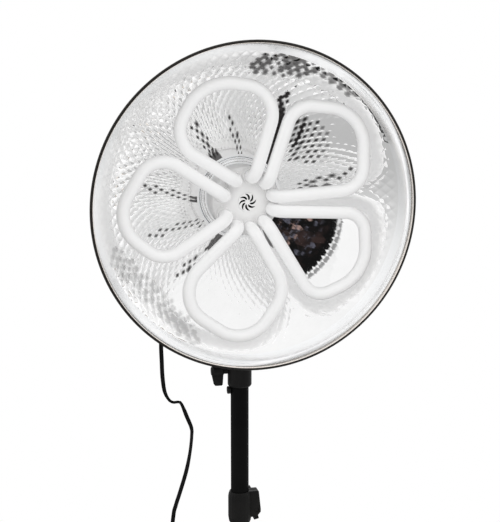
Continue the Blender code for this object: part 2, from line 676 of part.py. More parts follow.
cut(hub, rods("tube_bores", TUBE_RADIUS + RUNNING_GAP, bore_length, spots, head, None, 14,
              (0, bore_back - bore_length / 2, 0), ALONG_Y))
vent_seat = BOSS_FACE + 0.0012
recess_back = vent_seat + 0.0040
cut(hub, turned("vent_recess", [(0, BOSS_FACE - 0.0010), (VENT_RADIUS + RUNNING_GAP, BOSS_FACE - 0.0010),
                                (VENT_RADIUS + RUNNING_GAP, vent_seat), (SLOT_OUTER + 0.0004, vent_seat),
                                (SLOT_OUTER + 0.0004, recess_back), (0, recess_back)], head, None, 20,
                rotation=INTO_LAMP))

vent_middle = vent_seat - RUNNING_GAP - VENT_THICK / 2
vent = rod("vent_cap", VENT_RADIUS, VENT_THICK, head, WHITE_PLASTIC, 28, (0, vent_middle, 0), ALONG_Y)
slot_reach = SLOT_OUTER - SLOT_INNER
for k in range(VENT_SLOTS):
    swirl = []
    for side, steps in ((-1, range(5)), (1, range(4, -1, -1))):
        for step in steps:
            along = step / 4
            radius = SLOT_INNER + slot_reach * along
            lean = math.radians(360 / VENT_SLOTS * k - 34 * math.sin(math.pi * along * 0.62))
            width = SLOT_WIDTH / 2 * math.sqrt(max(0.10, 1 - (2 * along - 1) ** 4)) * (0.55 + 0.45 * along)
            swirl.append((radius * math.cos(lean) - side * width * math.sin(lean),
                          radius * math.sin(lean) + side * width * math.cos(lean)))
    cut(vent, plate("swirl_%d" % (k + 1), swirl, 3 * VENT_THICK, head, None, (0, vent_middle, 0), ALONG_Y))

tube_end = HUB_FACE + SOCKET_DEPTH - LOOSE_GAP
for number, (first_root, first, crown, second, second_root, bend) in enumerate(PETALS, 1):
    corners = [polar(first_root, ROOT_CIRCLE, tube_end), polar(first_root, ROOT_CIRCLE, PETAL_DEPTH),
               polar(*first, PETAL_DEPTH), polar(*crown, PETAL_DEPTH), polar(*second, PETAL_DEPTH),
               polar(second_root, ROOT_CIRCLE, PETAL_DEPTH), polar(second_root, ROOT_CIRCLE, tube_end)]
    path = rounded_path(corners, [ROOT_BEND, bend, CROWN_BEND, bend, ROOT_BEND])
    tube_along("petal_tube_%d" % number, path, TUBE_RADIUS, 2, head, GLASS_TUBE)

# Head arm: a saddle on the housing and a flat arm down to the tilt lug
saddle_half, arm_half = 0.0240, 0.0130
arm_drawing = (arc((0, -AXIS_TO_TILT), LUG_RADIUS, 180, 360, 13)
               + [(arm_half, -AXIS_TO_TILT + 0.0300), (arm_half, -0.1000), (saddle_half, -0.0720),
                  (saddle_half, -0.0400),
                  (-saddle_half, -0.0400), (-saddle_half, -0.0720), (-arm_half, -0.1000),
                  (-arm_half, -AXIS_TO_TILT + 0.0300)])
arm = plate("head_arm", arm_drawing, LUG_THICK, head, BLACK_PLASTIC, (0, STAND_BEHIND_RIM, 0), DRAWN_FROM_SIDE)
fuse(arm, block("saddle", (0.0340, 2 * saddle_half - 0.0010, 0.0260), head, None,
                (0, STAND_BEHIND_RIM, -0.0580), bevel=0.003))
cut(arm, rod("housing_room", HOUSING_RADIUS + RUNNING_GAP, 0.0900, head, None, 48, (0, STAND_BEHIND_RIM, 0),
             ALONG_Y))
bolt_hole = BOLT_RADIUS + RUNNING_GAP
cut(arm, rod("arm_bolt_hole", bolt_hole, 3 * LUG_THICK, head, None, 20, (0, STAND_BEHIND_RIM, -AXIS_TO_TILT),
             TO_RIGHT))

# Tilt bracket
lug_right = -LAMP_OFFSET + LUG_THICK / 2
disc_left = lug_right + RUNNING_GAP
cheek_left = disc_left + FRICTION_THICK + RUNNING_GAP
cheek_right = cheek_left + CHEEK_THICK
cheek_middle = (cheek_left + cheek_right) / 2
spigot_bore = SPIGOT_RADIUS + RUNNING_GAP
bore_end = SPIGOT_LENGTH + 0.0010
receiver = turned("tilt_bracket", [(0, bore_end), (spigot_bore, bore_end), (spigot_bore, 0),
                                   (RECEIVER_RADIUS - 0.0012, 0), (RECEIVER_RADIUS, 0.0020),
                                   (RECEIVER_RADIUS, RECEIVER_HEIGHT - 0.0030),
                                   (RECEIVER_RADIUS - 0.0030, RECEIVER_HEIGHT),
                                   (0, RECEIVER_HEIGHT)], bracket, BLACK_PLASTIC, 24)
cheek_drawing = arc((0, TILT_UP), LUG_RADIUS, 0, 180, 13) + [(-RECEIVER_RADIUS + 0.0025, 0.0440),
                                                             (RECEIVER_RADIUS - 0.0025, 0.0440)]
fuse(receiver, plate("cheek", cheek_drawing, CHEEK_THICK, bracket, None, (cheek_middle, 0, 0), DRAWN_FROM_SIDE))
cut(receiver, rod("umbrella_hole", UMBRELLA_RADIUS, 4 * RECEIVER_RADIUS, bracket, None, 16,
                  (0, 0, UMBRELLA_HEIGHT), ALONG_Y))
cut(receiver, rod("bracket_bolt_hole", bolt_hole, 0.0600, bracket, None, 14, (0, 0, TILT_UP), TO_RIGHT))
screw_hole = LOCK_SHANK + RUNNING_GAP
cut(receiver, rod("lock_hole", screw_hole, 0.0200, bracket, None, 14, (-0.0150, 0, LOCK_HEIGHT), TO_RIGHT))
cut(receiver, rod("umbrella_lock_hole", screw_hole, 0.0200, bracket, None, 14, (0.0110, 0, UMBRELLA_HEIGHT),
                  TO_RIGHT))

rod("friction_disc", LUG_RADIUS - 0.0010, FRICTION_THICK, bracket, RUBBER, 32,
    (disc_left + FRICTION_THICK / 2, 0, TILT_UP), TO_RIGHT)
disc = bpy.data.objects["friction_disc"]
cut(disc, rod("disc_hole", bolt_hole, 3 * FRICTION_THICK, bracket, None, 20,
              (disc_left + FRICTION_THICK / 2, 0, TILT_UP), TO_RIGHT))

lug_left = -LAMP_OFFSET - LUG_THICK / 2
bolt_tip = lug_left - 0.0150
bolt_head = 0.0050
bolt_length = cheek_right + RUNNING_GAP - bolt_tip
bolt = rod("tilt_bolt", BOLT_RADIUS, bolt_length, bracket, STEEL, 20,
           (bolt_tip + bolt_length / 2, 0, TILT_UP), TO_RIGHT)
fuse(bolt, rod("bolt_head", 2 * BOLT_RADIUS, bolt_head, bracket, None, 6,
               (cheek_right + RUNNING_GAP + bolt_head / 2, 0, TILT_UP), TO_RIGHT))

tilt_knob = wing_knob("tilt_knob", TILT_HUB, TILT_SPAN, bracket, (lug_left - RUNNING_GAP, 0, TILT_UP), TO_LEFT,
                      0)
cut(tilt_knob, rod("tilt_knob_bore", bolt_hole, 0.0320, bracket, None, 20, (lug_left - RUNNING_GAP, 0, TILT_UP),
                   TO_LEFT))

lock_seat = RECEIVER_RADIUS + LOCK_NECK
groove_radius = SPIGOT_RADIUS - SPIGOT_GROOVE
wing_knob("spigot_lock_knob", LOCK_HUB, LOCK_SPAN, bracket, (-lock_seat, 0, LOCK_HEIGHT), TO_LEFT,
          lock_seat - groove_radius - RUNNING_GAP, LOCK_NECK - LOOSE_GAP)
umbrella_seat = RECEIVER_RADIUS + LOOSE_GAP
umbrella_shank = umbrella_seat - UMBRELLA_RADIUS
umbrella_screw = turned("umbrella_lock_screw",
                        [(0, 0), (0.0075, 0), (0.0082, 0.0010), (0.0082, 0.0080), (0.0070, 0.0095),
                         (0, 0.0095)],
                        bracket, BLACK_PLASTIC, 12, (umbrella_seat, 0, UMBRELLA_HEIGHT), TO_RIGHT)
fuse(umbrella_screw, rod("umbrella_shank", LOCK_SHANK, umbrella_shank + 0.0010, bracket, None, 16,
                         (umbrella_seat + 0.0010 - (umbrella_shank + 0.0010) / 2, 0, UMBRELLA_HEIGHT),
                         TO_RIGHT))

# Spigot and top tube
flange_top = -RUNNING_GAP
flange_bottom = flange_top - 0.0015
tube_top = flange_bottom - RUNNING_GAP
plug_radius = TOP_TUBE_RADIUS - TUBE_WALL - RUNNING_GAP
groove = (LOCK_HEIGHT - 0.0045, LOCK_HEIGHT + 0.0045)
spigot = turned("spigot", [(0, tube_top - SPIGOT_PLUG), (plug_radius, tube_top - SPIGOT_PLUG),
                           (plug_radius, flange_bottom),
                           (TOP_TUBE_RADIUS, flange_bottom), (TOP_TUBE_RADIUS, flange_top),
                           (SPIGOT_RADIUS, flange_top),
                           (SPIGOT_RADIUS, groove[0]), (groove_radius, groove[0] + SPIGOT_GROOVE),
                           (groove_radius, groove[1] - SPIGOT_GROOVE), (SPIGOT_RADIUS, groove[1]),
                           (SPIGOT_RADIUS, SPIGOT_LENGTH - 0.0010), (SPIGOT_RADIUS - 0.0010, SPIGOT_LENGTH),
                           (0, SPIGOT_LENGTH)],
                bracket, STEEL, 20)
set_screw_radius = 0.0020
set_hole = dict(length=0.0120, location=(-TOP_TUBE_RADIUS, 0, -SET_SCREW_DROP), rotation=TO_RIGHT)
cut(spigot, rod("spigot_screw_hole", set_screw_radius + RUNNING_GAP, parent=bracket, segments=16, **set_hole))


def column_tube(name, radius, top, length, parent):
    return turned(name, ring_profile(radius - TUBE_WALL, radius, top - length, top), parent, BLACK_PAINT,
                  TUBE_SIDES)


def ring_profile(inner, outer, low, high):
    return [(inner, low), (outer, low), (outer, high), (inner, high)]


def tube_plug(name, radius, bottom, parent):
    """A plug pressed up into the lower end of a tube, with a flange under it."""
    inner = radius - TUBE_WALL - RUNNING_GAP
    flange = bottom - RUNNING_GAP
    turned(name, [(0, flange - PLUG_FLANGE), (radius - 0.0008, flange - PLUG_FLANGE),
                  (radius, flange - PLUG_FLANGE + 0.0008),
                  (radius, flange), (inner, flange), (inner, bottom + PLUG_LENGTH), (0, bottom + PLUG_LENGTH)],
           parent, BLACK_PLASTIC, TUBE_SIDES)


top_tube = column_tube("top_tube", TOP_TUBE_RADIUS, tube_top, TOP_TUBE_LENGTH, bracket)
cut(top_tube, rod("tube_screw_hole", set_screw_radius + RUNNING_GAP, parent=bracket, segments=16, **set_hole))
screw_head_inner = -TOP_TUBE_RADIUS - RUNNING_GAP
screw_head = 0.0046
set_screw = rod("spigot_screw", SET_SCREW_HEAD, screw_head, bracket, BLACK_PLASTIC, 12,
                (screw_head_inner - screw_head / 2, 0, -SET_SCREW_DROP), TO_RIGHT)
soften(set_screw, 0.0006)
fuse(set_screw, rod("set_screw_shank", set_screw_radius, 0.0055, bracket, None, 16,
                    (screw_head_inner + 0.0022, 0, -SET_SCREW_DROP), TO_RIGHT))
tube_plug("top_tube_plug", TOP_TUBE_RADIUS, RECEIVER_BOTTOM + tube_top - TOP_TUBE_LENGTH, stand)


def clamp(name, inner_tube, top):
    """A collar on one tube that grips the thinner tube sliding in it: a slit ear, its bolt and wing knob."""
    outer_tube = inner_tube + RUNNING_GAP + TUBE_WALL
    body = outer_tube + CLAMP_WALL
    bottom = top - CLAMP_HEIGHT
    foot = outer_tube + RUNNING_GAP + CLAMP_FOOT_WALL
    collar = turned(name, [(0, top), (body - CLAMP_LIP, top), (body - 0.0006, top - 0.0045),
                           (body, top - 0.0085),
                           (body, bottom + 0.0065), (foot, bottom), (0, bottom)], stand, BLACK_PLASTIC,
                           TUBE_SIDES)
    ear = body + CLAMP_EAR_REACH
    ear_low = -CLAMP_EAR_HEIGHT
    ear_drawing = [(0.0060, 0), (ear - 0.0010, 0), (ear, -0.0010), (ear + CLAMP_EAR_FLARE, ear_low * 0.70),
                   (ear + CLAMP_EAR_FLARE, ear_low * 0.82), (ear - 0.0030, ear_low), (0.0060, ear_low)]
    fuse(collar, plate(name + "_ear", ear_drawing, CLAMP_EAR_WIDTH, stand, None, (0, 0, top), ALONG_Y))
    beyond = 0.0010
    bore_profile = [(0, top + beyond), (inner_tube + RUNNING_GAP, top + beyond),
                 (inner_tube + RUNNING_GAP, bottom + CLAMP_GRIP),
                 (outer_tube + RUNNING_GAP, bottom + CLAMP_GRIP),
                 (outer_tube + RUNNING_GAP, bottom - beyond), (0, bottom - beyond)]
    cut(collar, turned(name + "_bore", bore_profile, stand, None, TUBE_SIDES))
    slit_low = CLAMP_EAR_HEIGHT + beyond
    cut(collar, block(name + "_slit", (0.0400, CLAMP_SLIT, slit_low + beyond), stand, None,
                      (0.0080 + 0.0200, 0, top + beyond - (slit_low + beyond) / 2)))
    ear_back = CLAMP_EAR_WIDTH / 2 + LOOSE_GAP
    neck = body - ear_back + KNOB_ROOM
    knob_at = (math.sqrt(body ** 2 - ear_back ** 2) + KNOB_RADIUS + KNOB_ROOM, ear_back + neck,
               top - CLAMP_KNOB_DROP)
    cut(collar, rod(name + "_bolt_hole", screw_hole, 2 * CLAMP_EAR_WIDTH, stand, None, 14,
                    (knob_at[0], 0, knob_at[2]), ALONG_Y))
    wing_knob(name + "_knob", CLAMP_HUB, CLAMP_SPAN, stand, knob_at, (-math.pi / 2, CLAMP_KNOB_TURN, 0),
              neck + CLAMP_EAR_WIDTH + LOOSE_GAP - 0.0010, neck)


clamp("upper_clamp", TOP_TUBE_RADIUS, UPPER_CLAMP_TOP)
clamp("lower_clamp", MIDDLE_TUBE_RADIUS, LOWER_CLAMP_TOP)
column_tube("middle_tube", MIDDLE_TUBE_RADIUS, MIDDLE_TUBE_TOP, MIDDLE_TUBE_LENGTH, stand)
tube_plug("middle_tube_plug", MIDDLE_TUBE_RADIUS, MIDDLE_TUBE_TOP - MIDDLE_TUBE_LENGTH, stand)
base_tube_top = MIDDLE_TUBE_TOP - CLAMPS_APART
column_tube("base_tube", BASE_TUBE_RADIUS, base_tube_top, base_tube_top - BASE_TUBE_BOTTOM, stand)
tube_plug("end_plug", BASE_TUBE_RADIUS, BASE_TUBE_BOTTOM, stand)

# Tripod
collar_bore = BASE_TUBE_RADIUS + RUNNING_GAP
slider_body = collar_bore + SLIDER_WALL
half = SLIDER_HEIGHT / 2
slider = turned("leg_slider", [(collar_bore, SLIDER_PIVOT - half), (slider_body - 0.0015, SLIDER_PIVOT - half),
                               (slider_body, SLIDER_PIVOT - half + 0.0015),
                               (slider_body, SLIDER_PIVOT + half - 0.0015),
                               (slider_body - 0.0015, SLIDER_PIVOT + half), (collar_bore, SLIDER_PIVOT + half)],
                               stand,
                BLACK_PLASTIC, TUBE_SIDES)
lower_body = collar_bore + COLLAR_BODY_WALL
lower_collar = turned("bottom_collar", ring_profile(collar_bore, lower_body, COLLAR_PIVOT - COLLAR_BAND / 2,
                                                    COLLAR_PIVOT + COLLAR_BAND / 2), stand, BLACK_PLASTIC,
                                                    TUBE_SIDES)
leg_room = LEG_RADIUS + LOOSE_GAP
ear_width = 2 * (leg_room + EAR_THICK)
ear_start = 0.0180
ear_reach = PIVOT_CIRCLE + EAR_REACH
for number, azimuth in enumerate(LEG_AZIMUTHS, 1):
    spoke = frame("spoke_%d" % number, (0, 0, 0), (0, 0, math.radians(azimuth)), stand)
    ear_middle = (ear_start + ear_reach) / 2
    fuse(slider, block("ears_%d" % number, (ear_reach - ear_start, ear_width, EAR_HEIGHT), spoke, None,
                       (ear_middle, 0, SLIDER_PIVOT)))
    slot_start = slider_body + LOOSE_GAP
    cut(slider, block("ear_slot_%d" % number, (0.0400, 2 * leg_room, 0.0500), spoke, None,
                      (slot_start + 0.0200, 0, SLIDER_PIVOT)))
    fuse(slider, rod("ear_pin_%d" % number, PIN_RADIUS, ear_width + 2 * RIVET_HEAD, spoke, None, 10,
                     (PIVOT_CIRCLE, 0, SLIDER_PIVOT), ALONG_Y))
    lug_reach = PIVOT_CIRCLE + BRACE_WIDTH / 2
    fuse(lower_collar, block("lug_%d" % number, (lug_reach - ear_start, 2 * LEG_RADIUS, BRACE_WIDTH), spoke,
                             None,
                             ((ear_start + lug_reach) / 2, 0, COLLAR_PIVOT), bevel=0.0015))

    leg_frame = frame("leg_axis_%d" % number, (PIVOT_CIRCLE, 0, SLIDER_PIVOT), (0, -LEG_OPEN, 0), spoke)
    leg_end = LEG_LENGTH - 0.0100
    leg = turned("leg_%d" % number, ring_profile(LEG_RADIUS - LEG_WALL, LEG_RADIUS, -leg_end, LEG_TOP),
                 leg_frame,
                 BLACK_PAINT, 14)
    pin_holes = rods("leg_holes_%d" % number, PIN_RADIUS + RUNNING_GAP, 0.0300,
                     [(0, 0, 0), (0, -BRACE_LENGTH, 0)],
                     leg_frame, None, 10, rotation=ALONG_Y)
    cut(leg, pin_holes)

    sleeve_outer = LEG_RADIUS + RUNNING_GAP + FOOT_WALL
    neck_angle = math.degrees(math.acos(sleeve_outer / FOOT_RADIUS))
    ball = arc((0, -LEG_LENGTH), FOOT_RADIUS, -90, neck_angle, 6)
    ball[0] = (0, -LEG_LENGTH - FOOT_RADIUS)
    foot = turned("foot_%d" % number, ball + [(sleeve_outer, -LEG_LENGTH + FOOT_SLEEVE - 0.0010),
                                             (sleeve_outer - 0.0008, -LEG_LENGTH + FOOT_SLEEVE),
                                             (LEG_RADIUS + RUNNING_GAP, -LEG_LENGTH + FOOT_SLEEVE),
                                             (LEG_RADIUS + RUNNING_GAP, -leg_end - RUNNING_GAP),
                                             (0, -leg_end - RUNNING_GAP)],
                  leg_frame, RUBBER, 14)
    cut(foot, block("floor_under_%d" % number, (0.0600, 0.0600, 0.0200), spoke, None,
                    (FOOT_CIRCLE, 0, -0.0100)))

    brace_frame = frame("brace_axis_%d" % number, (0, 0, -BRACE_LENGTH), (0, 2 * LEG_OPEN, 0), leg_frame)
    strip_drawing = arc((0, 0), BRACE_WIDTH / 2, 0, 180, 6) + arc((0, -BRACE_LENGTH), BRACE_WIDTH / 2, 180, 360,
                                                                  6)
    side_at = leg_room + BRACE_THICK / 2
    brace = plate("brace_%d" % number, strip_drawing, BRACE_THICK, brace_frame, STEEL, (0, side_at, 0), ALONG_Y)
    fuse(brace, plate("far_strip_%d" % number, strip_drawing, BRACE_THICK, brace_frame, None, (0, -side_at, 0),
                      ALONG_Y))
    pin_length = 2 * (leg_room + BRACE_THICK + RIVET_HEAD / 2)
    fuse(brace, rod("brace_pin_%d" % number, PIN_RADIUS, pin_length, brace_frame, None, 10, rotation=ALONG_Y))
    head_at = leg_room + BRACE_THICK + RIVET_HEAD / 2 - 0.0001
    heads = [(0, 0, head_at), (0, 0, -head_at), (0, -BRACE_LENGTH, head_at), (0, -BRACE_LENGTH, -head_at)]
    fuse(brace, rods("rivets_%d" % number, RIVET_RADIUS, RIVET_HEAD, heads, brace_frame, None, 8,
                     rotation=ALONG_Y))

knob_spoke = frame("knob_spoke", (0, 0, 0), (0, 0, math.radians(SLIDER_KNOB_AZIMUTH)), stand)
knob_height = SLIDER_PIVOT - SLIDER_KNOB_DROP
cut(slider, rod("slider_screw_hole", screw_hole, 0.0160, knob_spoke, None, 14,
                (slider_body - 0.0020, 0, knob_height), TO_RIGHT))
wing_knob("leg_slider_knob", SLIDER_KNOB_HUB, SLIDER_KNOB_SPAN, knob_spoke,
          (slider_body + LOOSE_GAP, 0, knob_height), TO_RIGHT,
          slider_body + LOOSE_GAP - BASE_TUBE_RADIUS - RUNNING_GAP)


# Cord: the hanging run, the coil wound in on the lower layer and out again on the upper one, and the plug
def coil_path():
    swing = COIL_LAYER_TURNS * COIL_PITCH
    outer = COIL_MEAN_RADIUS + swing / 2
    turns = 2 * COIL_LAYER_TURNS + 0.25
    points = []
    for k in range(round(turns * COIL_POINTS) + 1):
        turn = k / COIL_POINTS
        inward = min(turn, COIL_LAYER_TURNS)
        outward = max(0.0, turn - COIL_LAYER_TURNS)
        radius = outer - COIL_PITCH * (inward - outward)
        from_reversal = turn - COIL_LAYER_TURNS
        if abs(from_reversal) < 0.5:
            radius -= COIL_DIP * math.cos(math.pi * from_reversal) ** 2
        climb = min(1.0, max(0.0, (turn - COIL_LAYER_TURNS + 0.25) / 0.5))
        angle = math.radians(COIL_START) - 2 * math.pi * turn
        points.append(Vector((COIL_CENTRE[0] + radius * math.cos(angle),
                              COIL_CENTRE[1] + radius * math.sin(angle),
                              COIL_HEIGHT + COIL_LAYER_RISE * climb)))
    return points


def least_gap(points, width, thickness):
    """The least room between stretches of the coil that aren't neighbours along it."""
    least = 1.0
    for i, a in enumerate(points):
        for b in points[i + COIL_POINTS // 2:]:
            flat = math.hypot(a.x - b.x, a.y - b.y) - width
            high = abs(a.z - b.z) - thickness
            least = min(least, max(flat, high))
    return least


coil = coil_path()
print("least gap between the coil's turns: %.5f m" % least_gap(coil, CORD_WIDTH, CORD_THICK))
leave = (coil[-1] - coil[-2]).normalized()
leave.z = 0
tail = coil[-1] + leave * COIL_TAIL
section_curve = bpy.data.curves.new("cord_section", "CURVE")
section_curve.dimensions = "2D"
section_spline = section_curve.splines.new("POLY")
side_reach = (CORD_WIDTH - CORD_THICK) / 2
oval = arc((side_reach, 0), CORD_THICK / 2, -90, 90, 3) + arc((-side_reach, 0), CORD_THICK / 2, 90, 270, 3)
section_spline.points.add(len(oval) - 1)
for point, (x, y) in zip(section_spline.points, oval):
    point.co = (x, y, 0, 1)
section_spline.use_cyclic_u = True
cord_section = bpy.data.objects.new("cord_section", section_curve)
cord_section.hide_render = True
cutters.objects.link(cord_section)
tube_along("cord_coil", coil + [coil[-1] + leave * COIL_TAIL / 2, tail], 0, 0, stand, CORD_VINYL, cord_section)

arrive = (coil[1] - coil[0]).normalized()
straight = 2 * CORD_ROUND
relief_tip = Vector((-LAMP_OFFSET, relief_seat + RELIEF_LENGTH - STAND_BEHIND_RIM, LAMP_HEIGHT - RELIEF_DOWN))
leave_relief = [relief_tip + Vector((0, RUNNING_GAP, 0)), relief_tip + Vector((0, RUNNING_GAP + straight, 0))]
meet_coil = [coil[0] - arrive * (RUNNING_GAP + straight), coil[0] - arrive * RUNNING_GAP]
run = smooth_path([*leave_relief, *CORD_ROUTE, *meet_coil], CORD_STEP)
tube_along("cord_run", run, CORD_ROUND / 2, 2, stand, CORD_VINYL)

plug_length, plug_width, plug_height = PLUG_SIZE
plug_frame = frame("plug_axis", tail + leave * RUNNING_GAP, (0, 0, math.atan2(leave.y, leave.x)), stand)
plug = plate("plug", [(0, -0.0045), (0.0100, -0.0050), (0.0180, -plug_width / 2),
                      (plug_length - 0.0020, -plug_width / 2),
                      (plug_length, -plug_width / 2 + 0.0020), (plug_length, plug_width / 2 - 0.0020),
                      (plug_length - 0.0020, plug_width / 2), (0.0180, plug_width / 2), (0.0100, 0.0050),
                      (0, 0.0045)],
             plug_height, plug_frame, BLACK_PLASTIC)
soften(plug, 0.0018)
pins = [(0, side * PLUG_PIN_SPREAD / 2, plug_length + PLUG_PIN_LENGTH / 2 - 0.0010) for side in (-1, 1)]
fuse(plug, rods("plug_pins", PLUG_PIN_RADIUS, PLUG_PIN_LENGTH + 0.0020, pins, plug_frame, None, 12,
                rotation=TO_RIGHT))

# tied where the two layers lie right over each other, half a turn from the reversal
tie_angle = math.radians(COIL_START - 180)
bundle = (COIL_LAYER_TURNS - 1) * COIL_PITCH + CORD_WIDTH + 2 * TIE_SLACK
bundle_height = COIL_LAYER_RISE + CORD_THICK + 2 * LOOSE_GAP
tie_at = (COIL_CENTRE[0] + COIL_MEAN_RADIUS * math.cos(tie_angle),
          COIL_CENTRE[1] + COIL_MEAN_RADIUS * math.sin(tie_angle),
          COIL_HEIGHT + COIL_LAYER_RISE / 2)
tie = block("cord_tie", (bundle + 2 * TIE_WALL, TIE_WIDTH, bundle_height + 2 * TIE_WALL), stand, BLACK_PLASTIC,
            tie_at, (0, 0, tie_angle))
cut(tie, block("tie_hole", (bundle, 3 * TIE_WIDTH, bundle_height), stand, None, tie_at, (0, 0, tie_angle)))
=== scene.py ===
import json
import math
import random

import bmesh
import bpy
from mathutils import Matrix, Vector


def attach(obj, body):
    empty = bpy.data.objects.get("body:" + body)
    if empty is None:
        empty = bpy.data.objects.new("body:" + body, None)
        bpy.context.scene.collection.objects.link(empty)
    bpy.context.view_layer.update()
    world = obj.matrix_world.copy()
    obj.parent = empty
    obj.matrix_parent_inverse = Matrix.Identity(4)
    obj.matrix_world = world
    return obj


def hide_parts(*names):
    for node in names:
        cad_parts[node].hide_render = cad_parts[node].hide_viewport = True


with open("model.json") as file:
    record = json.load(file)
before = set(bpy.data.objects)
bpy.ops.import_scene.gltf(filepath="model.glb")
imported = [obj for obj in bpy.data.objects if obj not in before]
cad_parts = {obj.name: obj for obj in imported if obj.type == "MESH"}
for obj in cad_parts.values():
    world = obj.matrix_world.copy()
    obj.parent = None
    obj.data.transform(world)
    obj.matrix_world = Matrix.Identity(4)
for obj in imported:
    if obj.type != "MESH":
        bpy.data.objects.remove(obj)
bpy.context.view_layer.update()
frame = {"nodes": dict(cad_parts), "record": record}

nodes = frame["nodes"]
studio = bpy.context.scene

# places shared by several pieces, in metres
standY = 0.118246
headOrigin = Vector((-0.0115, -0.041754, 1.109686))
# faces round a turned piece
turnedSides = 96

# camera
cameraSettings = {
    "place": (-0.4064, -1.7765, 1.3912),
    "pitch": 78.924,
    "yaw": -12.536,
    "lens": 98.96,
}
# which way the camera looks, for the flat side of the cord
lookAlong = Vector((0.2134, 0.9578, -0.1925))

cameraData = bpy.data.cameras.new("studioCamera")
cameraData.sensor_fit = "VERTICAL"
cameraData.sensor_height = 36
cameraData.lens = cameraSettings["lens"]
camera = bpy.data.objects.new("studioCamera", cameraData)
camera.location = cameraSettings["place"]
camera.rotation_euler = (math.radians(cameraSettings["pitch"]), 0, math.radians(cameraSettings["yaw"]))
studio.collection.objects.link(camera)
studio.camera = camera
studio.view_settings.view_transform = "Standard"
print("camera placed")


def addMesh(name, shape, finishes):
    mesh = bpy.data.meshes.new(name)
    shape.to_mesh(mesh)
    shape.free()
    for finish in finishes:
        mesh.materials.append(finish)
    made = bpy.data.objects.new(name, mesh)
    studio.collection.objects.link(made)
    return made


def addPiece(name, shape, body, replaced=(), finishes=(), smoothAngle=None):
    # smooth shaded, and riding on its body in place of the CAD nodes that it replaces
    piece = addMesh(name, shape, finishes)
    piece.data.shade_smooth()
    if smoothAngle:
        piece.data.set_sharp_from_angle(angle=math.radians(smoothAngle))
    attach(piece, body)
    if replaced:
        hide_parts(*replaced)
    return piece


def sweep(shape, path, outline, normals=None, closedEnds=True):
    # runs a closed outline along a path, turned as little as it can be, or with its y along the given normals
    rings = []
    normal = None
    for index, spot in enumerate(path):
        before = path[max(index - 1, 0)]
        after = path[min(index + 1, len(path) - 1)]
        along = (after - before).normalized()
        if normals:
            normal = normals[index]
        elif normal is None:
            normal = along.orthogonal()
        normal = (normal - along * normal.dot(along)).normalized()
        across = along.cross(normal)
        rings.append([shape.verts.new(spot + across * x + normal * y) for x, y in outline])
    count = len(outline)
    for near, far in zip(rings, rings[1:]):
        for k in range(count):
            shape.faces.new((near[k], far[k], far[(k + 1) % count], near[(k + 1) % count]))
    if closedEnds:
        shape.faces.new(rings[0])
        shape.faces.new(rings[-1][::-1])
    bmesh.ops.recalc_face_normals(shape, faces=shape.faces)
    return rings


def rise(value, start, over):
    # 0 before the start, 1 past the stretch, and even between
    return min(1.0, max(0.0, (value - start) / over))


def flatPoint(angle, radius):
    return radius * math.cos(angle), radius * math.sin(angle)


def circlePoints(radius, count):
    return [flatPoint(2 * math.pi * k / count, radius) for k in range(count)]


def smoothPath(route, step):
    # Catmull-Rom points through the route, with where each one lies along it
    stops = [Vector(point) for point in route]
    stops = [2 * stops[0] - stops[1]] + stops + [2 * stops[-1] - stops[-2]]
    path, marks = [], []
    for index in range(len(stops) - 3):
        a, b, c, d = stops[index:index + 4]
        count = max(1, round((c - b).length / step))
        for k in range(count):
            t = k / count
            spot = 2 * b + (c - a) * t + (2 * a - 5 * b + 4 * c - d) * t ** 2
            path.append(0.5 * (spot + (3 * b - a - 3 * c + d) * t ** 3))
            marks.append(index + t)
    path.append(stops[-2])
    marks.append(len(stops) - 3)
    return path, marks


# cord: a flat two-core lead from the strain relief down behind the stand into its coil
cordSettings = {
    "width": 0.0062,
    "thickness": 0.0028,
    "webThickness": 0.0015,
    "coreStep": 32,
    "step": 0.0045,
    "length": 2.79,
    # the strain relief's tip from the head's origin, and the cord's straight run there and at the coil
    "reliefTip": (0, 0.2883, -0.0250),
    "straight": 0.0088,
    "coilCentre": (0.0100, 0.1750),
    "coilMeanRadius": 0.0370,
    "coilPitch": 0.0068,
    "layerTurns": 3,
    "layerRise": 0.0037,
    # the part of a turn over which the cord climbs to the upper layer, and how far it pulls in meanwhile
    "climbTurn": 0.5,
    "dip": 0.0044,
    # turns beyond the two full layers
    "extraTurn": 0.25,
    "height": 0.0029,
    "startAngle": 120,
    "tail": 0.0250,
    "pointsPerTurn": 48,
    # which way the flat of the lead faces: point of the route, degrees from facing the front
    "faceTurns": (
        (0, 0), (6, 0), (9, 5), (11, 60), (13, 60), (15, 15),
        (17, 50), (18, 50), (20, 20), (24, 10), (30, 0), (60, 0),
    ),
    # below this height the flat side turns down, and it lies on the floor after this drop
    "lieFrom": 0.30,
    "lieOver": 0.28,
}
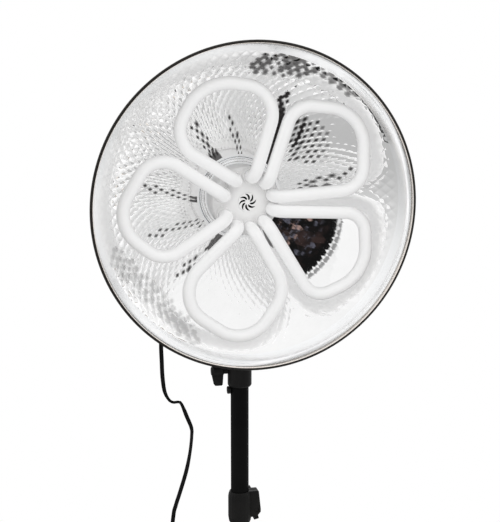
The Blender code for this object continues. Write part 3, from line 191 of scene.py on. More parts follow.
cordRoute = (
    (-0.016, 0.156, 1.08), (-0.028, 0.17, 1.056), (-0.048, 0.166, 1.015), (-0.07, 0.148, 0.965),
    (-0.087, 0.122, 0.92), (-0.0945, 0.1, 0.879), (-0.0956, 0.09, 0.8509), (-0.0947, 0.09, 0.8269),
    (-0.0916, 0.09, 0.8046), (-0.0845, 0.09, 0.7914), (-0.0775, 0.0905, 0.7882), (-0.0693, 0.091, 0.7879),
    (-0.064, 0.091, 0.7775), (-0.0595, 0.0905, 0.7654), (-0.0529, 0.09, 0.7482), (-0.0525, 0.09, 0.737),
    (-0.0545, 0.09, 0.7165), (-0.0584, 0.09, 0.6942), (-0.063, 0.09, 0.6755), (-0.0715, 0.0905, 0.6478),
    (-0.0772, 0.0915, 0.6293), (-0.081, 0.0925, 0.6105), (-0.087, 0.1, 0.53), (-0.088, 0.115, 0.4),
    (-0.086, 0.128, 0.26), (-0.083, 0.137, 0.13), (-0.079, 0.143, 0.06), (-0.075, 0.152, 0.022),
    (-0.069, 0.168, 0.007), (-0.056, 0.186, 0.0034), (-0.04, 0.1998, 0.0029),
)


def coilPath(s):
    turnsInLayer = s["layerTurns"]
    pitch = s["coilPitch"]
    outer = s["coilMeanRadius"] + turnsInLayer * pitch / 2
    centre = s["coilCentre"]
    points = []
    climbTurn = s["climbTurn"]
    turns = 2 * turnsInLayer + s["extraTurn"]
    for k in range(round(turns * s["pointsPerTurn"]) + 1):
        turn = k / s["pointsPerTurn"]
        late = turn - turnsInLayer
        radius = outer - pitch * (min(turn, turnsInLayer) - max(0.0, late))
        if abs(late) < climbTurn:
            radius -= s["dip"] * math.cos(math.pi * late) ** 2
        climb = rise(late, -climbTurn / 2, climbTurn)
        angle = math.radians(s["startAngle"]) - 2 * math.pi * turn
        height = s["height"] + s["layerRise"] * climb
        x, y = flatPoint(angle, radius)
        points.append(Vector((centre[0] + x, centre[1] + standY + y, height)))
    return points


def turnAt(mark, stations):
    for (m0, a0), (m1, a1) in zip(stations, stations[1:]):
        if mark <= m1:
            share = (mark - m0) / (m1 - m0)
            share = share * share * (3 - 2 * share)
            return math.radians(a0 + (a1 - a0) * share)
    return math.radians(stations[-1][1])


def cordOutline(s):
    # two round cores joined by a thin web
    radius = s["thickness"] / 2
    reach = s["width"] / 2 - radius
    outline = []
    for side, start in ((1, 0), (-1, 180)):
        for k in range(-4, 5):
            angle = math.radians(start + s["coreStep"] * k)
            x, y = flatPoint(angle, radius)
            outline.append((side * reach + x, y))
        outline.append((0, side * s["webThickness"] / 2))
    return outline


def cordNormals(path, marks, s):
    # the flat side faces the camera, turned a little here and there, and lies down towards the floor
    floorUp = Vector((0, 0, 1))
    normals = []
    for index, spot in enumerate(path):
        if index >= len(marks) - 1:
            normals.append(floorUp)
            continue
        share = rise(s["lieFrom"] - spot.z, 0, s["lieOver"])
        facing = lookAlong.lerp(floorUp, share)
        along = (path[index + 1] - path[max(index - 1, 0)]).normalized()
        facing = (facing - along * facing.dot(along)).normalized()
        normals.append(Matrix.Rotation(turnAt(marks[index], s["faceTurns"]), 3, along) @ facing)
    return normals


def makeCord(s):
    reliefTip = headOrigin + Vector(s["reliefTip"])
    straight = s["straight"]
    coil = coilPath(s)
    arrive = (coil[1] - coil[0]).normalized()
    route = [reliefTip, reliefTip + Vector((0, straight, 0))]
    route += [Vector((x, y + standY, z)) for x, y, z in cordRoute]
    route += [coil[0] - arrive * straight, coil[0]]
    run, marks = smoothPath(route, s["step"])
    leave = (coil[-1] - coil[-2]).normalized()
    leave.z = 0
    tail = [coil[-1] + leave * s["tail"] * k / 4 for k in range(1, 5)]
    path = run[:-1] + coil + tail
    shape = bmesh.new()
    sweep(shape, path, cordOutline(s), cordNormals(path, marks, s))
    piece = addPiece("mains_cord", shape, "base", ["cord_run", "cord_coil"])
    length = sum((b - a).length for a, b in zip(path, path[1:]))
    print("cord is %.3f m long" % length)
    return piece


mainsCord = makeCord(cordSettings)


def gray(level, warm=0.0):
    return (level * (1 + warm), level, level * (1 - warm), 1)


# node groups: each puts out only what changes over the surface
def newGroup(name, output, **inputs):
    # a tuple makes a color input and a number a plain one
    group = bpy.data.node_groups.new(name, "ShaderNodeTree")
    for label, value in inputs.items():
        kind = "NodeSocketColor" if isinstance(value, tuple) else "NodeSocketFloat"
        label = label.replace("_", " ")
        socket = group.interface.new_socket(name=label, in_out="INPUT", socket_type=kind)
        socket.default_value = value
    kind = "NodeSocketColor" if output == "Color" else "NodeSocketFloat"
    group.interface.new_socket(name=output, in_out="OUTPUT", socket_type=kind)
    entry = group.nodes.new("NodeGroupInput")
    leaving = group.nodes.new("NodeGroupOutput")
    return group, entry.outputs, leaving.inputs[output]


def feed(tree, socket, value):
    # links an output to the socket, or sets a constant on it
    if isinstance(value, bpy.types.NodeSocket):
        tree.links.new(value, socket)
    else:
        socket.default_value = value


def addNode(tree, kind, values=None, **settings):
    node = tree.nodes.new("ShaderNode" + kind)
    for key, value in settings.items():
        setattr(node, key, value)
    for key, value in (values or {}).items():
        feed(tree, node.inputs[key], value)
    return node


def objectPlace(tree):
    return addNode(tree, "TexCoord").outputs["Object"]


def noiseOver(tree, place, scale, detail, roughness=0.5, **fourth):
    # three dimensions, or four where W is given as well
    values = {"Vector": place, "Scale": scale, "Detail": detail, "Roughness": roughness, **fourth}
    dimensions = "4D" if fourth else "3D"
    return addNode(tree, "TexNoise", values, noise_dimensions=dimensions).outputs["Fac"]


def mathNode(tree, operation, first, second):
    return addNode(tree, "Math", {0: first, 1: second}, operation=operation).outputs[0]


def spread(tree, value, low, high, first=0.0, last=1.0):
    return addNode(tree, "MapRange", {"Value": value, "From Min": low, "From Max": high, "To Min": first,
                                      "To Max": last}).outputs["Result"]


def smoothRange(tree, value, low, high):
    return addNode(tree, "MapRange", {"Value": value, "From Min": low, "From Max": high},
                   interpolation_type="SMOOTHSTEP").outputs["Result"]


def mixTones(tree, factor, first, second):
    colors = {"Factor": factor, "A": first, "B": second}
    return addNode(tree, "Mix", colors, data_type="RGBA").outputs["Result"]


def makeGrainGroup():
    # fine moulded or cast texture: mixed noise and cells, as a height
    group, entry, leaving = newGroup("surfaceGrain", "Height", Scale=400.0, Cells=0.5)
    place = objectPlace(group)
    noise = noiseOver(group, place, entry["Scale"], 4.0, 0.6)
    cells = addNode(group, "TexVoronoi", {"Vector": place, "Scale": entry["Scale"]}, feature="SMOOTH_F1")
    height = addNode(group, "Mix", {0: entry["Cells"], 2: noise, 3: cells.outputs["Distance"]})
    feed(group, leaving, height.outputs[0])
    return group


def makeToneGroup():
    # slow drift between two tones
    group, entry, leaving = newGroup("toneDrift", "Color", Color=gray(0.5), Shade=gray(0.4), Scale=30.0)
    noise = noiseOver(group, objectPlace(group), entry["Scale"], 6.0, 0.65)
    share = spread(group, noise, 0.3, 0.7)
    feed(group, leaving, mixTones(group, share, entry["Color"], entry["Shade"]))
    return group


def makeWearGroup():
    # bare or rubbed tone on convex edges
    group, entry, leaving = newGroup("edgeWear", "Color", Color=gray(0.5), Worn_Color=gray(0.6), Start=0.53,
                                     Amount=0.4)
    geometry = addNode(group, "NewGeometry")
    noise = noiseOver(group, objectPlace(group), 260.0, 3.0)
    jitter = mathNode(group, "MULTIPLY", noise, 0.06)
    edge = mathNode(group, "SUBTRACT", geometry.outputs["Pointiness"], jitter)
    rubbed = mathNode(group, "MULTIPLY", smoothRange(group, edge, entry["Start"], 0.60), entry["Amount"])
    feed(group, leaving, mixTones(group, rubbed, entry["Color"], entry["Worn Color"]))
    return group


def makeSheenGroup():
    # roughness that wanders between two values
    group, entry, leaving = newGroup("roughSpread", "Roughness", Low=0.3, High=0.5, Scale=60.0)
    noise = noiseOver(group, objectPlace(group), entry["Scale"], 5.0, 0.6)
    rough = spread(group, noise, 0.3, 0.7, entry["Low"], entry["High"])
    feed(group, leaving, rough)
    return group


def makeDustGroup():
    # a little dust where the surface looks up
    group, entry, leaving = newGroup("dustFilm", "Color", Color=gray(0.5), Dust=(0.4, 0.39, 0.37, 1),
                                     Amount=0.1)
    geometry = addNode(group, "NewGeometry")
    split = addNode(group, "SeparateXYZ", {0: geometry.outputs["Normal"]})
    up = smoothRange(group, split.outputs["Z"], 0.2, 1.0)
    noise = noiseOver(group, objectPlace(group), 180.0, 6.0, 0.7)
    patch = mathNode(group, "MULTIPLY", up, noise)
    film = mathNode(group, "MULTIPLY", patch, entry["Amount"])
    feed(group, leaving, mixTones(group, film, entry["Color"], entry["Dust"]))
    return group


surfaceGrain = makeGrainGroup()
toneDrift = makeToneGroup()
edgeWear = makeWearGroup()
roughSpread = makeSheenGroup()
dustFilm = makeDustGroup()
print("node groups made")


def useGroup(tree, group, **values):
    node = addNode(tree, "Group", node_tree=group)
    for key, value in values.items():
        feed(tree, node.inputs[key.replace("_", " ")], value)
    return node.outputs[0]


def makeFinish(name, tone, shade, rough, driftScale=30.0, grainScale=600.0, cells=0.5, bump=0.1,
               bumpDepth=0.0001, worn=None, wear=0.4, dust=0.0, roughScale=60.0, mirrorGlow=0.0,
               paintedDarkReflection=None, **onShader):
    # a Principled finish: drifting tone, worn edges, dust, wandering roughness and fine grain
    made = bpy.data.materials.new(name)
    made.use_nodes = True
    tree = made.node_tree
    shader = tree.nodes["Principled BSDF"]
    for key, value in onShader.items():
        shader.inputs[key.replace("_", " ")].default_value = value
    color = useGroup(tree, toneDrift, Color=tone, Shade=shade, Scale=driftScale)
    if worn:
        color = useGroup(tree, edgeWear, Color=color, Worn_Color=worn, Amount=wear)
    if dust:
        color = useGroup(tree, dustFilm, Color=color, Amount=dust)
    # painted reflection: a dark colour mixed in where the mesh's attribute says, standing in for the dark
    # places that the bowl mirrors
    if paintedDarkReflection:
        paintedReflectionNode = addNode(tree, "Attribute", attribute_type="GEOMETRY", attribute_name="paintedDarkReflection")
        color = mixTones(tree, paintedReflectionNode.outputs["Fac"], color, paintedDarkReflection)
    sheen = useGroup(tree, roughSpread, Low=rough[0], High=rough[1], Scale=roughScale)
    grain = useGroup(tree, surfaceGrain, Scale=grainScale, Cells=cells)
    relief = addNode(tree, "Bump", {"Strength": bump, "Distance": bumpDepth, "Height": grain})
    feed(tree, shader.inputs["Base Color"], color)
    feed(tree, shader.inputs["Roughness"], sheen)
    feed(tree, shader.inputs["Normal"], relief.outputs["Normal"])
    if mirrorGlow:
        # the bowl throws light on the backs of white pieces, which shows in its mirror
        rays = addNode(tree, "LightPath")
        glow = mathNode(tree, "MULTIPLY", rays.outputs["Is Glossy Ray"], mirrorGlow)
        feed(tree, shader.inputs["Emission Strength"], glow)
        shader.inputs["Emission Color"].default_value = gray(1.0)
    return made


# the dimpled bowl's colour carries painted dark reflections, given corner by corner by the mesh
hammeredMetal = makeFinish("hammeredAluminium", gray(0.93), gray(0.87), (0.020, 0.050), driftScale=14.0,
                           grainScale=900.0, cells=0.2, bumpDepth=0.00005, Metallic=1.0,
                           paintedDarkReflection=(0.012, 0.009, 0.009, 1))
plainMetal = makeFinish("rolledAluminium", gray(0.96, -0.006), gray(0.92, -0.008), (0.14, 0.24),
                        driftScale=20.0, grainScale=700.0, cells=0.2, bump=0.15, bumpDepth=0.00005,
                        Metallic=1.0)
rimMetal = makeFinish("rimAluminium", gray(0.93, 0.05), gray(0.86, 0.08), (0.20, 0.30), grainScale=700.0,
                      cells=0.2, bumpDepth=0.00005, Metallic=1.0)
outerPaint = makeFinish("outerBlackPaint", gray(0.005, 0.3), gray(0.008, 0.3), (0.30, 0.42), grainScale=900.0,
                        cells=0.3, bump=0.2, worn=gray(0.08, 0.15), wear=0.12, dust=0.02,
                        Specular_IOR_Level=0.3)
whitePlastic = makeFinish("whitePlastic", gray(0.92, 0.003), gray(0.89, 0.005), (0.34, 0.46),
                          grainScale=1500.0, bump=0.05, dust=0.04, mirrorGlow=0.28)
phosphorGlass = makeFinish("phosphorGlass", gray(0.945), gray(0.93), (0.30, 0.40), driftScale=40.0,
                           grainScale=300.0, cells=0.0, bump=0.02, mirrorGlow=0.34, Coat_Weight=0.35,
                           Coat_Roughness=0.12)
blackPlastic = makeFinish("blackPlastic", gray(0.007), gray(0.011, 0.05), (0.30, 0.46), grainScale=1400.0,
                          cells=0.7, bump=0.22, worn=gray(0.05), wear=0.10, dust=0.005,
                          Specular_IOR_Level=0.10)
blackPaint = makeFinish("blackPaint", gray(0.0025), gray(0.004), (0.30, 0.42), grainScale=700.0, cells=0.2,
                        bump=0.14, worn=gray(0.05), wear=0.05, dust=0.003, Specular_IOR_Level=0.03)
brightSteel = makeFinish("brightSteel", gray(0.58), gray(0.48), (0.20, 0.36), grainScale=900.0, cells=0.1,
                         bump=0.12, Metallic=1.0)
socketCeramic = makeFinish("socketCeramic", gray(0.80, 0.03), gray(0.74, 0.05), (0.18, 0.34),
                           grainScale=500.0)
blackRubber = makeFinish("blackRubber", gray(0.014), gray(0.022, 0.04), (0.62, 0.80), grainScale=900.0,
                         cells=0.6, bump=0.35, dust=0.25)
cordVinyl = makeFinish("cordVinyl", gray(0.006), gray(0.009), (0.30, 0.44), grainScale=800.0, cells=0.2,
                       dust=0.01, Specular_IOR_Level=0.06)
mainsCord.data.materials.append(cordVinyl)
print("finishes made")

slotFinishes = {
    "hammered_aluminium": plainMetal,
    "black_plastic": blackPlastic,
    "black_paint": blackPaint,
    "white_plastic": whitePlastic,
    "phosphor_glass": phosphorGlass,
    "bright_steel": brightSteel,
    "socket_ceramic": socketCeramic,
    "black_rubber": blackRubber,
    "cord_vinyl": cordVinyl,
}
for subpart in frame["record"]["subparts"]:
    finish = blackPaint if subpart["node"] == "spigot" else slotFinishes[subpart["material_slot"]]
    for holder in nodes[subpart["node"]].material_slots:
        holder.material = finish


# floor, world and lamps of the studio
def directionFrom(azimuth, elevation):
    # azimuth 0 looks out of the lamp's front, to the right of the picture above 0
    a, e = math.radians(azimuth), math.radians(elevation)
    return Vector((math.sin(a) * math.cos(e), -math.cos(a) * math.cos(e), math.sin(e)))


worldSettings = {
    "plainLevel": 0.84,
    # height of a direction, and how bright the room is there for whatever mirrors it
    "levels": (
        (-1.0, 0.84), (-0.92, 0.78), (-0.80, 0.55), (-0.40, 0.54),
        (-0.12, 0.68), (0.15, 0.86), (0.50, 1.00), (1.0, 1.03),
    ),
    # how softly the room's shapes begin, and the fan's curved sides
    "edge": 0.008,
    "fanEdge": 0.002,
    # a bright and a dark place in the room: azimuth, elevation, half width and half height in degrees, tone
    "places": (
        (-54, 20, 10, 24, 1.04),
        (24, 10, 12, 13, 0.66),
    ),
    # least share along a place's own direction, so that it isn't on the room's other side too
    "placeSide": 0.3,
    # the dark fan to the left of the camera: widest angle off the lamp's axis, lower and upper turn, tone
    "darkFan": (42.5, 2, 67, 0.008),
    # the thin line just outside the fan: nearest and widest angle off the axis, tone
    "fanLine": (43.8, 45.2, 0.30),
    # the dark strip of ground under the rim's right half: its turns, least angle off the axis, tone
    "darkStrip": (-100, -36, 80, 0.06),
    # what glints in the fan: widest angle off the axis, noise scale, its place, least and full noise, colour
    "fanGlints": (
        (39, 6.0, 0.0, 0.46, 0.62, (0.040, 0.026, 0.024, 1)),
        (36, 16.0, 3.7, 0.53, 0.60, (0.110, 0.110, 0.140, 1)),
        (30, 13.0, 7.3, 0.55, 0.62, (0.380, 0.260, 0.230, 1)),
    ),
}


def maskAbove(tree, place, axis, least, edge):
    # 1 where a direction's share along an axis is above the least one
    share = addNode(tree, "VectorMath", {0: place, 1: tuple(axis)}, operation="DOT_PRODUCT")
    return smoothRange(tree, share.outputs["Value"], least - edge, least + edge)


def multiplyMasks(tree, masks):
    product = masks[0]
    for mask in masks[1:]:
        product = mathNode(tree, "MULTIPLY", product, mask)
    return product


def placeMasks(tree, place, azimuth, elevation, wide, high, s):
    # a soft-edged rectangle round a direction
    edge = s["edge"]
    out = directionFrom(azimuth, elevation)
    side = out.cross(Vector((0, 0, 1))).normalized()
    masks = [maskAbove(tree, place, out, s["placeSide"], edge)]
    for axis, half in ((side, wide), (side.cross(out), high)):
        reach = math.sin(math.radians(half))
        masks += [maskAbove(tree, place, axis, -reach, edge), maskAbove(tree, place, -axis, -reach, edge)]
    return masks


def wedgeMasks(tree, place, lower, upper, edge):
    # between two planes through the lamp's axis, turns counted from the left of the picture upwards
    a, b = math.radians(lower), math.radians(upper)
    normals = Vector((math.sin(a), 0, math.cos(a))), Vector((-math.sin(b), 0, -math.cos(b)))
    return [maskAbove(tree, place, normal, 0, edge) for normal in normals]


def mirroredRoom(tree, s):
    # brightness by height, with the bright and dark places that the bowl mirrors
    place = addNode(tree, "TexCoord").outputs["Generated"]
    split = addNode(tree, "SeparateXYZ", {0: place})
    ramp = addNode(tree, "ValToRGB", {"Fac": spread(tree, split.outputs["Z"], -1.0, 1.0)})
    stops = ramp.color_ramp.elements
    while len(stops) < len(s["levels"]):
        stops.new(0.5)
    for stop, (level, brightness) in zip(stops, s["levels"]):
        stop.position = (level + 1) / 2
        stop.color = gray(brightness)
    edge = s["edge"]
    front = Vector((0, -1, 0))
    widest, fanLower, fanUpper, fanTone = s["darkFan"]
    fanSides = wedgeMasks(tree, place, fanLower, fanUpper, edge)

    def insideFan(angle):
        return maskAbove(tree, place, front, math.cos(math.radians(angle)), s["fanEdge"])

    lineNear, lineFar, lineTone = s["fanLine"]
    beyondGap = mathNode(tree, "SUBTRACT", 1.0, insideFan(lineNear))
    lower, upper, least, stripTone = s["darkStrip"]
    stripStart = maskAbove(tree, place, -front, -math.cos(math.radians(least)), edge)
    shapes = [(placeMasks(tree, place, *spot, s), gray(tone)) for *spot, tone in s["places"]]
    shapes.append((fanSides + [insideFan(lineFar), beyondGap], gray(lineTone)))
    shapes.append((fanSides + [insideFan(widest)], gray(fanTone)))
    shapes.append(([stripStart] + wedgeMasks(tree, place, lower, upper, edge), gray(stripTone)))
    for reach, scale, where, least, full, color in s["fanGlints"]:
        marbling = noiseOver(tree, place, scale, 5.0, 0.65, W=where)
        glints = smoothRange(tree, marbling, least, full)
        shapes.append((fanSides + [insideFan(reach), glints], color))
    room = ramp.outputs["Color"]
    for masks, color in shapes:
        room = mixTones(tree, multiplyMasks(tree, masks), room, color)
    return room


def makeWorld(s):
    # the camera sees white, glossy rays see the mirrored room, and the rest is lit by a plain level
    world = bpy.data.worlds.new("studioWorld")
    studio.world = world
    world.use_nodes = True
    tree = world.node_tree
    tree.nodes.clear()

    def background(color, strength):
        return addNode(tree, "Background", {"Color": color, "Strength": strength}).outputs[0]

    def choose(ray, otherwise, chosen):
        shaders = {"Fac": rays.outputs[ray], 1: otherwise, 2: chosen}
        return addNode(tree, "MixShader", shaders).outputs[0]

    rays = addNode(tree, "LightPath")
    gloss = choose("Is Glossy Ray", background(gray(1.0), s["plainLevel"]),
                   background(mirroredRoom(tree, s), 1.0))
    seen = choose("Is Camera Ray", gloss, background(gray(1.0), 1.0))
    addNode(tree, "OutputWorld", {"Surface": seen})


makeWorld(worldSettings)

softboxes = (
    {"name": "keySoftbox", "azimuth": 12, "elevation": 44, "distance": 3.2, "size": (1.6, 1.6), "power": 14},
    {"name": "fillSoftbox", "azimuth": -62, "elevation": 24, "distance": 3.2, "size": (1.4, 2.0), "power": 8},
)
for softbox in softboxes:
    light = bpy.data.lights.new(softbox["name"], "AREA")
    light.shape = "RECTANGLE"
    light.size, light.size_y = softbox["size"]
    light.energy = softbox["power"]
    holder = bpy.data.objects.new(softbox["name"], light)
    out = directionFrom(softbox["azimuth"], softbox["elevation"])
    holder.location = headOrigin + out * softbox["distance"]
    holder.rotation_euler = out.to_track_quat("Z", "Y").to_euler()
    # the bowl mirrors the room and not the softboxes
    holder.visible_glossy = False
    studio.collection.objects.link(holder)

floorSettings = {
    "radius": 1.56,
    "tone": 0.90,
    "shade": 0.891,
    "drop": 0.0006,
    # the fade starts and ends at these shares of the radius
    "fadeStart": 0.55,
    "fadeEnd": 0.98,
}


def makeFloor(s):
    radius = s["radius"]
    made = makeFinish("paleFloor", gray(s["tone"]), gray(s["shade"]), (0.7, 0.8), driftScale=3.0,
                      grainScale=200.0, cells=0.2, bump=0.05, bumpDepth=0.0002, roughScale=8.0)
    tree = made.node_tree
    # the floor fades into the white beyond it, and metal sees past it to the room
    length = addNode(tree, "VectorMath", {0: objectPlace(tree)}, operation="LENGTH")
    fade = smoothRange(tree, length.outputs["Value"], radius * s["fadeStart"], radius * s["fadeEnd"])
    rays = addNode(tree, "LightPath")
    unseen = mathNode(tree, "MAXIMUM", fade, rays.outputs["Is Glossy Ray"])
    clear = addNode(tree, "BsdfTransparent")
    mix = addNode(tree, "MixShader", {"Fac": unseen, 1: tree.nodes["Principled BSDF"].outputs[0],
                                      2: clear.outputs[0]})
    feed(tree, tree.nodes["Material Output"].inputs["Surface"], mix.outputs[0])
    shape = bmesh.new()
    bmesh.ops.create_circle(shape, cap_ends=True, segments=turnedSides, radius=radius)
    floor = addMesh("studioFloor", shape, [made])
    floor.location = (0, 0, -s["drop"])


makeFloor(floorSettings)
print("studio made")


# reflector: rolled rim, lip, plain band, then staggered diamond dimples down to the neck
reflectorSettings = {
    "rim": 0.2100,
    "bead": 0.0022,
    "beadSides": 20,
    # which faces round the bead are bare metal
    "bareBead": (8, 13),
    "sheet": 0.0012,
    "lipDepth": 0.0130,
    "lipRound": 0.0030,
    # the crease between lip and band: how far inward and forward it lies, and how far inward and back of
    # its own curve the band starts
    "crease": (0.0003, 0.0010),
    "bandStart": (0.0008, 0.0006),
    "deep": 0.1100,
    "fullness": 0.85,
    "neck": 0.0525,
    "neckRound": 0.0040,
    "neckLength": 0.0080,
    "band": 0.0120,
    "bandRows": 6,
    "cellsRound": 88,
    "rows": 18,
    # divisions along a facet's side, in front and at the back
    "fineFront": 4,
    "fineBack": 2,
    "dimpleSlope": 0.110,
    # least and most doming of a facet
    "swell": (0.8, 1.2),
    # how far chance tips a facet near the neck and near the rim, where that starts to grow, over how far
    "tilt": (0.014, 0.045),
    "tiltFrom": 0.145,
    "tiltOver": 0.035,
    # calm and deep stretches of hammering: turns and radii between which they lie, share of the slope
    "stretches": (
        (-66, 4, 0.050, 0.172, 0.08),
        (46, 68, 0.050, 0.122, 0.15),
        (38, 108, 0.166, 0.200, 1.6),
        (-160, -112, 0.160, 0.200, 1.6),
    ),
    # streaks of facets with a painted dark spot, a painted reflection of dark places and shade: turn and
    # radius at both ends, half width, darkness, share of a facet
    "streaks": (
        ((65, 0.120), (50, 0.058), 0.0085, 0.97, 1.0),
        ((68, 0.142), (66, 0.118), 0.0065, 0.97, 0.66),
        ((54, 0.130), (34, 0.090), 0.0085, 0.98, 0.60),
        ((46, 0.134), (28, 0.102), 0.0090, 0.96, 0.46),
        ((40, 0.139), (26, 0.118), 0.0080, 0.85, 0.34),
        ((13, 0.158), (9, 0.085), 0.0050, 0.92, 0.52),
        ((5, 0.125), (2, 0.075), 0.0040, 0.80, 0.90),
        ((122, 0.116), (122, 0.064), 0.0062, 0.97, 0.52),
        ((121, 0.068), (120, 0.056), 0.0060, 0.85, 1.0),
        ((97, 0.108), (88, 0.060), 0.0052, 0.97, 0.52),
        ((171, 0.128), (181, 0.060), 0.0050, 0.94, 0.46),
        ((181, 0.060), (183, 0.055), 0.0050, 0.85, 1.0),
        ((199, 0.128), (212, 0.062), 0.0056, 0.88, 0.42),
        ((228, 0.131), (236, 0.088), 0.0068, 0.96, 0.52),
        ((240, 0.076), (248, 0.058), 0.0070, 0.86, 1.0),
        ((-57, 0.078), (-54, 0.060), 0.0042, 0.80, 1.0),
        ((85, 0.177), (66, 0.193), 0.0150, 0.84, 0.68),
        ((74, 0.196), (46, 0.196), 0.0070, 0.74, 0.70),
        ((200, 0.186), (244, 0.184), 0.0130, 0.30, 0.66),
    ),
    # the painted dark spot on a facet, a painted reflection: its centre each way, its reach in the streak's
    # middle and how much less it is at the side, half the facet's diagonal, softness, and by how much the
    # reach differs among facets
    "spotCentre": 0.25,
    "spotReach": (1.25, 0.35),
    "spotSpan": 1.4,
    "spotSoft": 0.12,
    "spotLuck": (0.86, 1.12),
    # share of the facets with a small spot, and how small it is
    "rareSpot": (0.06, 0.5),
    "seed": 7,
}


def headPoint(angle, radius, depth, centre=headOrigin):
    x, z = flatPoint(angle, radius)
    return centre + Vector((x, depth, z))


def bowlDepth(radius, s):
    lipRadius = s["rim"] - s["bead"] - s["sheet"] / 2
    share = (lipRadius ** 2 - radius ** 2) / (lipRadius ** 2 - s["neck"] ** 2)
    return s["lipDepth"] + (s["deep"] - s["lipDepth"]) * max(0.0, share) ** s["fullness"]


def rowStations(s):
    # radii at equal steps, with how far each lies along the bowl's curve
    first = s["rim"] - s["bead"] - s["sheet"] / 2 - s["band"]
    last = s["neck"] + s["neckRound"]
    steps = 2000
    radii = [first + (last - first) * k / steps for k in range(steps + 1)]
    lengths = [0.0]
    for a, b in zip(radii, radii[1:]):
        lengths.append(lengths[-1] + math.hypot(b - a, bowlDepth(b, s) - bowlDepth(a, s)))
    return radii, lengths


def radiusAt(row, s, table):
    radii, lengths = table
    wanted = lengths[-1] * row / s["rows"]
    low, high = 0, len(lengths) - 1
    while high - low > 1:
        middle = (low + high) // 2
        if lengths[middle] <= wanted:
            low = middle
        else:
            high = middle
    share = (wanted - lengths[low]) / (lengths[high] - lengths[low])
    return radii[low] + (radii[high] - radii[low]) * share


def bowlNormal(angle, radius, s):
    # out of the metal, towards the lamp
    step = 0.0001
    slope = (bowlDepth(radius + step, s) - bowlDepth(radius - step, s)) / (2 * step)
    return Vector((slope * math.cos(angle), -1, slope * math.sin(angle))).normalized()


def paintedReflectionDarkness(angle, radius, u, v, luck, s):
    # how dark the painted reflection makes a corner of a facet; u and v run across the facet from -1 to 1
    spot = Vector(flatPoint(angle, radius))
    fromCentre = math.hypot(u - s["spotCentre"], v - s["spotCentre"]) / s["spotSpan"]
    full, less = s["spotReach"]
    shade = 0.0
    for first, last, halfWide, dark, share in s["streaks"]:
        near, far = [Vector(flatPoint(math.radians(turn), r)) for turn, r in (first, last)]
        along = far - near
        where = min(1.0, max(0.0, (spot - near).dot(along) / along.length_squared))
        offside = (spot - near - along * where).length / halfWide
        if offside <= 1:
            reach = share * (full - less * offside) * (luck if share < 1 else 1.0)
            shade = max(shade, dark * rise(reach - fromCentre, 0, s["spotSoft"]))
    return shade


def facetLuck(chance, turn, radius, s):
    # how far a facet tips each way and swells, and the size of its painted dark spot
    least, most = s["tilt"]
    tip = least + (most - least) * rise(radius, s["tiltFrom"], s["tiltOver"])
    tipA, tipB, swell = chance.gauss(0, tip), chance.gauss(0, tip), chance.uniform(*s["swell"])
    rare, small = s["rareSpot"]
    luck = chance.uniform(*s["spotLuck"]) if chance.random() > rare else small
    for fromTurn, toTurn, fromRadius, toRadius, share in s["stretches"]:
        if fromTurn < turn < toTurn and fromRadius < radius < toRadius:
            tipA, tipB, swell = tipA * share, tipB * share, swell * share
    return tipA, tipB, swell, luck


def fillFacet(shape, grid, fine, finishIndex, inward):
    for i in range(fine):
        for j in range(fine):
            around = [grid.get(k) for k in ((i, j), (i + 1, j), (i + 1, j + 1), (i, j + 1))]
            around = [vert for vert in around if vert]
            if len(around) < 3:
                continue
            if not inward:
                around.reverse()
            face = shape.faces.new(around)
            face.material_index = finishIndex
            face.smooth = True
    # the facet's border is sharp
    for i in range(fine):
        sides = (((i, 0), (i + 1, 0)), ((i, fine), (i + 1, fine)),
                 ((0, i), (0, i + 1)), ((fine, i), (fine, i + 1)))
        for pair in sides:
            ends = [grid.get(k) for k in pair]
            border = shape.edges.get(ends) if None not in ends else None
            if border:
                border.smooth = False


def dimpledShell(shape, s, table, fine, lift, finishIndex, inward=True):
    # diamonds between staggered corners, each gently domed and tipped by its own small amount
    chance = random.Random(s["seed"])
    halfStep = math.pi / s["cellsRound"]
    columns = 2 * s["cellsRound"]
    lastRow = s["rows"] * fine
    rowLength = table[1][-1] / s["rows"]
    rowRadii = [radiusAt(row / fine, s, table) for row in range(lastRow + 1)]
    corners = {}
    # a number on each corner: how far the painted reflection darkens the metal there
    paintedReflectionLayer = shape.verts.layers.float.get("paintedDarkReflection") or shape.verts.layers.float.new("paintedDarkReflection")

    def cornerAt(column, row, height):
        key = (column % (columns * fine), row)
        if key not in corners:
            radius, angle = rowRadii[row], halfStep * column / fine
            spot = headPoint(angle, radius, bowlDepth(radius, s))
            corners[key] = shape.verts.new(spot + bowlNormal(angle, radius, s) * (height + lift))
        return corners[key]

    for row in range(s["rows"] + 1):
        radius = rowRadii[row * fine]
        halfWide = radius * halfStep
        reach = halfWide * rowLength / math.hypot(halfWide, rowLength)
        for column in range(row % 2, columns, 2):
            turn = (math.degrees(halfStep * column) + 180) % 360 - 180
            tipA, tipB, swell, luck = facetLuck(chance, turn, radius, s)
            dome = s["dimpleSlope"] * reach / 2 * swell
            grid = {}
            for i in range(fine + 1):
                for j in range(fine + 1):
                    rowAt = row * fine - i + j
                    if not 0 <= rowAt <= lastRow:
                        continue
                    u, v = 2 * i / fine - 1, 2 * j / fine - 1
                    height = (1 - u * u) * (1 - v * v) * (dome + reach * (tipA * u + tipB * v))
                    height *= min(1.0, rowAt / fine, s["rows"] - rowAt / fine)
                    grid[i, j] = cornerAt(column * fine - fine + i + j, rowAt, height)
                    # only the front's corners get the painted dark reflection
                    if inward:
                        shade = paintedReflectionDarkness(halfStep * column, radius, u, v, luck, s)
                        grid[i, j][paintedReflectionLayer] = max(grid[i, j][paintedReflectionLayer], shade)
            fillFacet(shape, grid, fine, finishIndex, inward)


